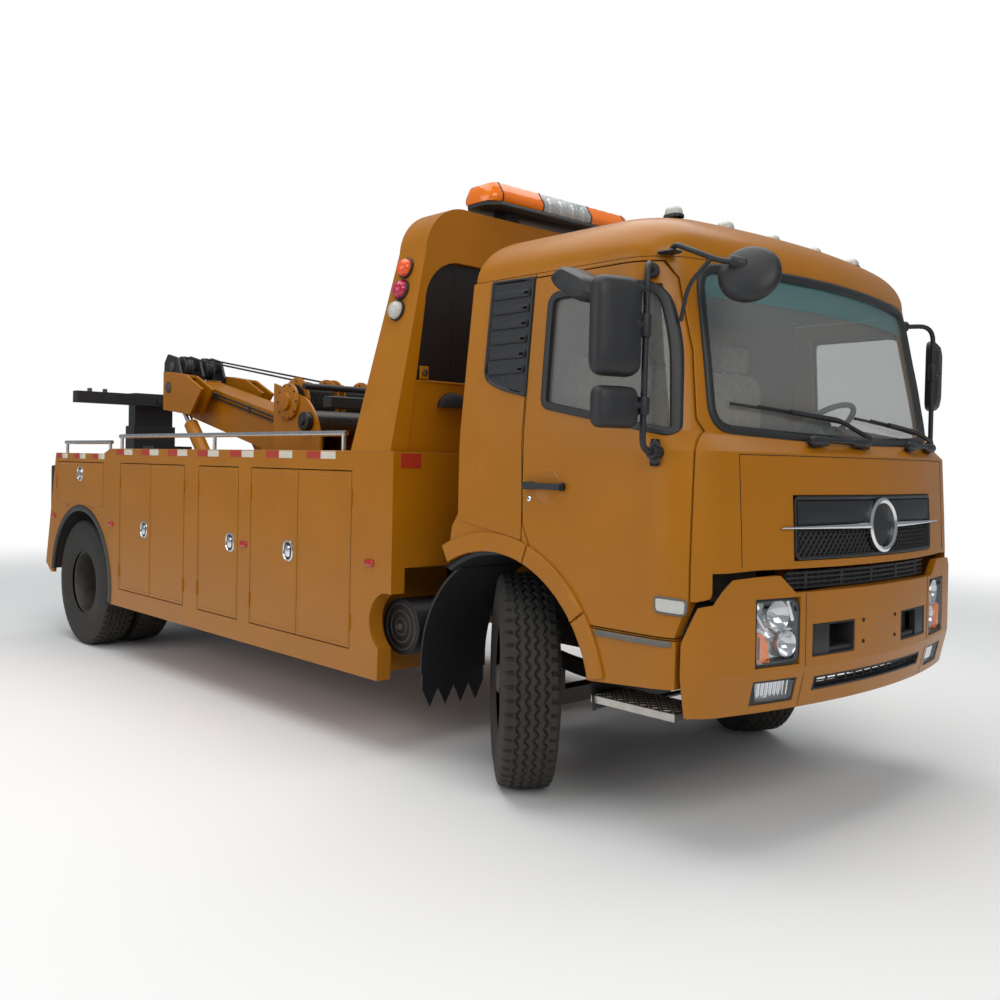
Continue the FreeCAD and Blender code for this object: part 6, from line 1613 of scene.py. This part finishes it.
def add_winch_drum(gear, y0):
    """A drum wound with rope, between its two bolted flanges."""
    last = WINDING_TURNS * WINDING_STEPS
    winding = [(0.0, 0.137)] + [(0.015 + 0.24 * k / last,
                                 0.146 + 0.006 * math.cos(2 * math.pi * k / WINDING_STEPS))
                                for k in range(last + 1)]
    gear.lathe(winding, (DRUM.x, y0, DRUM.z), ACROSS, 0, 40)
    for y in (y0 - 0.004, y0 + 0.262):
        gear.lathe([(0, 0.06), (0, 0.186), (0.002, 0.19), (0.01, 0.19), (0.012, 0.186), (0.012, 0.06)],
                   (DRUM.x, y, DRUM.z), ACROSS, 2, 44)
        for x, z in circle(DRUM.x, DRUM.z, 0.165, 8):
            gear.lathe([(-0.006, 0.001), (-0.006, 0.009), (0.018, 0.009), (0.018, 0.001)], (x, y, z), ACROSS,
                       3, 6)


def add_gearbox(gear, sign):
    """A gearbox cover with its bolts, and the motor, outside a winch plate."""
    y, axis = sign * GEARBOX_Y, (0, sign, 0)
    gear.lathe([(0, 0.14), (0.004, 0.142), (0.02, 0.138), (0.026, 0.12), (0.03, 0.07), (0.052, 0.066),
                (0.056, 0.05), (0.056, 0.001)], (DRUM.x, y, DRUM.z), axis, 2, 44)
    for x, z in circle(DRUM.x, DRUM.z, 0.128, 10):
        gear.lathe([(0.018, 0.0095), (0.03, 0.0095), (0.031, 0.001)], (x, y, z), axis, 3, 6)
    gear.lathe([(0, 0.07), (0.05, 0.07), (0.054, 0.06), (0.054, 0.03), (0.07, 0.028), (0.07, 0.001)],
               (PIVOT.x - 0.06, y, 1.88), axis, 1, 32)


def add_boom_pipes(gear, sign):
    """Two pipes clipped along a side of the boom, and the bolts of the pads at its mouth."""
    for up, y in ((0.30, 0.163), (0.335, 0.165)):
        gear.tube([on_boom(along, up, sign * y) for along in (0.62, 1.3, 2.44)], 0.0085, 4, 8)
    for along in (0.8, 1.4, 2.0, 2.38):
        p = on_boom(along, 0.318, sign * 0.156)
        gear.box(p - Vector((0.014, 0.008, 0.034)), p + Vector((0.014, 0.018, 0.034)), 3, 0.003)
    for along in (2.40, 2.52):
        for up in (0.09, 0.32):
            bolt(gear, on_boom(along, up, sign * 0.15), (0, sign, 0), 0.013, 0.012, 3)


def make_winch_gear():
    gear = Maker("winch_gear", "boom", [ROPE, BLACK, PAINT, STEEL, PLASTIC], "rope_steel")
    for y0 in (-0.30, 0.03):
        add_winch_drum(gear, y0)
    for sign in (-1, 1):
        add_gearbox(gear, sign)
    # black cross-beam ahead of the drums, guide roller and the bar that presses the rope
    gear.box((-2.76, -0.338, 1.975), (-2.66, 0.338, 2.065), 1, 0.008)
    gear.tube([(-3.02, -0.335, 2.15), (-3.02, 0.335, 2.15)], 0.024, 1, 16)
    gear.tube([(-3.40, -0.335, 2.125), (-3.40, 0.335, 2.125)], 0.022, 1, 16)
    for sign in (-1, 1):
        add_boom_pipes(gear, sign)
    collar = [(0.036, -0.157), (0.377, -0.157), (0.377, 0.157), (0.036, 0.157), (0.036, -0.157)]
    gear.tube([on_boom(2.535, up, y) for up, y in collar], 0.011, 2, 8)
    # pin caps of the lift rods' eyes
    for sign in (-1, 1):
        gear.lathe([(0, 0.05), (0.008, 0.052), (0.012, 0.046), (0.014, 0.001)],
                   (-5.25, sign * 0.362, 2.23), (0, sign, 0), 3, 24)
    gear.finish(sharp=40)


def add_hook(head, y):
    """The rope's end over a sheave, its socket and its hook."""
    path = [(SHEAVE.x + SHEAVE_RADIUS * math.cos(a), y, SHEAVE.z + SHEAVE_RADIUS * math.sin(a))
            for a in spread(math.radians(100), math.radians(180), 10)]
    low = Vector(path[-1]) + Vector((0, 0, -HOOK_DROP))
    head.tube(path + [low], 0.008, 0, 10)
    head.lathe([(0, 0.009), (0.02, 0.016), (0.10, 0.018), (0.12, 0.024), (0.15, 0.024), (0.165, 0.012)],
               low + Vector((0, 0, 0.01)), (0, 0, -1), 1, 16)
    eye = low + Vector((0, 0, -0.155))
    path, radii = [eye], [0.013]
    for k, a in enumerate(spread(math.radians(70), math.radians(-180), 14)):
        path.append(eye + Vector((-0.055 * math.cos(a) + 0.012, 0, -0.085 + 0.055 * math.sin(a))))
        radii.append(0.013 + 0.008 * math.sin(math.pi * k / 14))
    radii[-1] = 0.006
    head.tube(path, radii, 2, 12)


def make_sheave_gear():
    head = Maker("sheave_gear", "boom_tip", [ROPE, STEEL, HOOK], "rope_steel")
    for y in (-SHEAVE_Y, SHEAVE_Y):
        for sign in (-1, 1):
            head.lathe([(0, 0.05), (0, 0.104), (0.006, 0.108), (0.010, 0.104), (0.014, 0.093), (0.014, 0.05)],
                       (SHEAVE.x, y + sign * 0.0305, SHEAVE.z), (0, sign, 0), 1, 40)
        add_hook(head, y)
    for sign in (-1, 1):
        head.lathe([(0, 0.045), (0.012, 0.045), (0.016, 0.038), (0.018, 0.001)],
                   (SHEAVE.x, sign * 0.2325, SHEAVE.z), (0, sign, 0), 1, 24)
        for along in (0.08, 0.28):
            bolt(head, on_boom(BOOM_REAR + along, BOOM_TIP_LOW + 0.1, sign * 0.2325), (0, sign, 0), 0.014,
                 0.012, 1)
    head.finish(sharp=40)


def make_winch_ropes():
    """Two stranded ropes from the drums to the sheaves, which stretch as the inner boom slides."""
    a = math.radians(100)
    for side, y in (("right", -SHEAVE_Y), ("left", SHEAVE_Y)):
        rope = Maker(f"winch_rope_{side}", None, [ROPE], "rope_steel")
        start = Vector((DRUM.x - 0.02, y * 1.35, DRUM.z + 0.15))
        end = Vector((SHEAVE.x + SHEAVE_RADIUS * math.cos(a), y, SHEAVE.z + SHEAVE_RADIUS * math.sin(a)))
        for strand in range(ROPE_STRANDS):
            twist = []
            for i in range(ROPE_STEPS + 1):
                angle = 2 * math.pi * (strand / ROPE_STRANDS + i / ROPE_STEPS * ROPE_TURNS)
                turned = Vector((0, math.cos(angle), math.sin(angle)))
                twist.append(start.lerp(end, i / ROPE_STEPS) + turned * 0.0048)
            rope.tube(twist, 0.0038, 0, 5)
        piece = rope.finish(sharp=80)
        near = at(*start).lerp(at(*end), 0.03)
        far = at(*start).lerp(at(*end), 0.97)
        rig.blend(piece, "boom", "boom_tip", start=tuple(near), end=tuple(far))


def make_underlift_fittings():
    mast = Maker("mast_fittings", "root", [BLACK, STEEL, RED, MARKER, LENS], "chassis_black")
    for sign in (-1, 1):
        for z in (0.62, 0.74, 0.86):
            mast.lathe([(0, 0.018), (0.016, 0.018), (0.018, 0.001)], (-5.93, sign * 0.2005, z),
                       (0, sign, 0), 1, 6)
        # rear lamp boxes on the body's tail
        y0, y1 = sorted((sign * 1.235, sign * 1.085))
        mast.box((-5.742, y0, 1.02), (-5.700, y1, 1.50), 0, 0.01)
        for z, finish in ((1.425, 2), (1.31, 3), (1.195, 4), (1.085, 2)):
            mast.lathe([(0.0, 0.05), (0.008, 0.05), (0.016, 0.042), (0.02, 0.02), (0.0205, 0.001)],
                       (-5.742, sign * 1.16, z), (-1, 0, 0), finish, 28)
    mast.finish(sharp=40)
    bar = Maker("crossbar_ends", "crossbar", [STEEL], "chassis_black")
    for sign in (-1, 1):
        for y in (0.55, 0.70):
            bar.lathe([(0, 0.02), (0.004, 0.024), (0.03, 0.024), (0.034, 0.02), (0.034, 0.001)],
                      (-6.245, sign * y, 2.2095), (0, 0, 1), 0, 6)
    bar.finish(sharp=40)


# ---------------------------------------------------------------- cab interior
CAB_FLOOR = 1.28
CUSHION_CUTS = 15
CUSHION_POWER = 7
SEWN_DEPTH = 0.10
SEWN_WIDTH = 0.05
SEWN_AT = (-0.5, 0.5)
PAD_FILL = 0.8
WHEEL_TILT = math.radians(38)
# name, place across the cab and width
SEATS = (("driver", 0.56, 0.5), ("middle", 0.0, 0.42), ("passenger", -0.56, 0.5))


def cushion(name, low, high, crown, channels):
    """A padded block: crowned faces, drawn-in sides and sewn channels across it."""
    low, high = Vector(low), Vector(high)
    centre, size = (low + high) / 2, high - low
    thick = 2 if size.z < size.x else 0
    long = 2 - thick
    bm = bmesh.new()
    bmesh.ops.create_cube(bm, size=1.0)
    bmesh.ops.subdivide_edges(bm, edges=bm.edges[:], cuts=CUSHION_CUTS, use_grid_fill=True)
    for vert in bm.verts:
        flat = vert.co * 2
        p = flat / sum(abs(c) ** CUSHION_POWER for c in flat) ** (1 / CUSHION_POWER)
        p.x *= 1 - 0.03 * (1 - abs(flat.y)) * (abs(flat.x) > 0.98)
        sewn = sum(math.exp(-((flat.y - channel) / SEWN_WIDTH) ** 2) for channel in channels)
        dome = 1 - 0.5 * (flat[long] ** 2 + flat.y ** 2)
        p[thick] = p[thick] * (1 - crown + crown * dome) - SEWN_DEPTH * sewn * (flat[thick] > 0.9)
        vert.co = centre + Vector((p.x * size.x, p.y * size.y, p.z * size.z)) / 2
    bmesh.ops.translate(bm, vec=(AXLE_X, 0, 0), verts=bm.verts)
    mesh = bpy.data.meshes.new(name)
    bm.to_mesh(mesh)
    bm.free()
    mesh.materials.append(CLOTH)
    piece = bpy.data.objects.new(name, mesh)
    bpy.context.scene.collection.objects.link(piece)
    smooth = piece.modifiers.new("smooth", "SUBSURF")
    smooth.levels = smooth.render_levels = 1
    mesh.shade_smooth()
    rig.ride(piece, "cab")
    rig.slot(piece, "cloth_grey")
    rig.padded(piece, fill=PAD_FILL)
    return piece


def make_seats():
    z = CAB_FLOOR
    for name, y, width in SEATS:
        half = width / 2
        seat = cushion(f"seat_cushion_{name}", (0.155, y - half, z + 0.175), (0.688, y + half, z + 0.318),
                       0.12, SEWN_AT)
        if name == SEATS[0][0]:
            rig.replaces(seat, "seats")
        cushion(f"seat_back_{name}", (0.064, y - half, z + 0.325), (0.198, y + half, z + 0.858), 0.2, SEWN_AT)
        cushion(f"seat_head_{name}", (0.072, y - 0.13, z + 0.872), (0.178, y + 0.13, z + 1.018), 0.2, ())
    frames = Maker("seat_frames", "cab", [PLASTIC, BRIGHT], "trim_grey")
    for _, y, _ in SEATS:
        frames.box((0.185, y - 0.15, z + 0.001), (0.635, y + 0.15, z + 0.168), 0, 0.015)
        for side in (-0.06, 0.06):
            frames.tube([(0.125, y + side, z + 0.84), (0.125, y + side, z + 0.89)], 0.008, 1, 8)
    frames.finish(sharp=40)


def make_dash():
    """Hub of the steering wheel, two blank displays and four round vents."""
    dash = Maker("dash_details", "cab", [PLASTIC, BLACK_SCREENS_AND_PAINTED_SHADE], "trim_grey")
    axis = Vector((-math.sin(WHEEL_TILT), 0, math.cos(WHEEL_TILT)))
    dash.lathe([(-0.012, 0.001), (-0.012, 0.075), (0.01, 0.085), (0.024, 0.07), (0.03, 0.03), (0.031, 0.001)],
               Vector((0.88, 0.56, 1.56)) + axis * 0.32, axis, 0, 28)
    for y in (0.12, -0.14):
        dash.box((0.872, y - 0.1, 1.50), (0.879, y + 0.1, 1.60), 1, 0.003)
    for y in (0.75, 0.25, -0.25, -0.75):
        dash.lathe([(0, 0.035), (0.006, 0.035), (0.008, 0.03), (0.002, 0.026), (0.002, 0.001)],
                   (0.94, y, 1.732), (0, 0, 1), 0, 20)
    dash.finish(sharp=40)


# ---------------------------------------------------------------- chassis details
CANISTER = (-0.808, -1.1002, 0.70)


def make_chassis_details():
    parts = Maker("chassis_details", "root", [BLACK, STEEL, TREAD], "chassis_black")
    for sign in (-1, 1):
        # tread plate on the cab step: raised bars on its top, and its edge
        for i in range(14):
            for j in range(7):
                x, y = 0.645 + i * 0.0305, 0.947 + j * 0.0325
                lean = 0.009 if (i + j) % 2 else -0.009
                parts.tube([(x - 0.009, sign * (y - lean), 0.601), (x + 0.009, sign * (y + lean), 0.601)],
                           0.0028, 2, 5)
        y0, y1 = sorted((sign * 1.166, sign * 1.172))
        parts.box((0.625, y0, 0.568), (1.07, y1, 0.602), 2, 0.002)
        # rings and filler on the end of the round canister, on the right side only
        if sign < 0:
            for radius in (0.05, 0.09, 0.13):
                parts.lathe([(0.0, radius), (0.004, radius), (0.004, radius - 0.008), (0.0, radius - 0.008)],
                            CANISTER, (0, -1, 0), 1, 32)
            parts.lathe([(0, 0.02), (0.015, 0.018), (0.018, 0.008), (0.03, 0.008), (0.03, 0.001)],
                        CANISTER, (0, -1, 0), 1, 12)
        # shock absorbers beside the front springs, and bolts along the frame
        parts.tube([(0.18, sign * 0.50, 0.48), (0.22, sign * 0.50, 0.66)], 0.03, 0, 14)
        parts.tube([(0.215, sign * 0.50, 0.64), (0.26, sign * 0.50, 0.84)], 0.018, 1, 12)
        for k in range(12):
            bolt(parts, (-1.0 - k * 0.36, sign * 0.4302, 0.90), (0, sign, 0), 0.011, 0.009, 1)
    parts.finish(sharp=40)


make_roof()
make_windows()
make_cab_front()
make_tyres()
make_hubs()
make_headlamps()
make_bumper_grilles()
make_mirrors()
make_cab_sides()
make_roof_lamps()
make_body_sides()
make_tower_fittings()
make_light_bar()
make_winch_gear()
make_sheave_gear()
make_winch_ropes()
make_underlift_fittings()
make_seats()
make_dash()
make_chassis_details()

with open("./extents.json", "w") as out:
    json.dump({"cad": [list(p) for p in CAD_BOX], "visual": [list(p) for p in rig.bounds()]}, out)
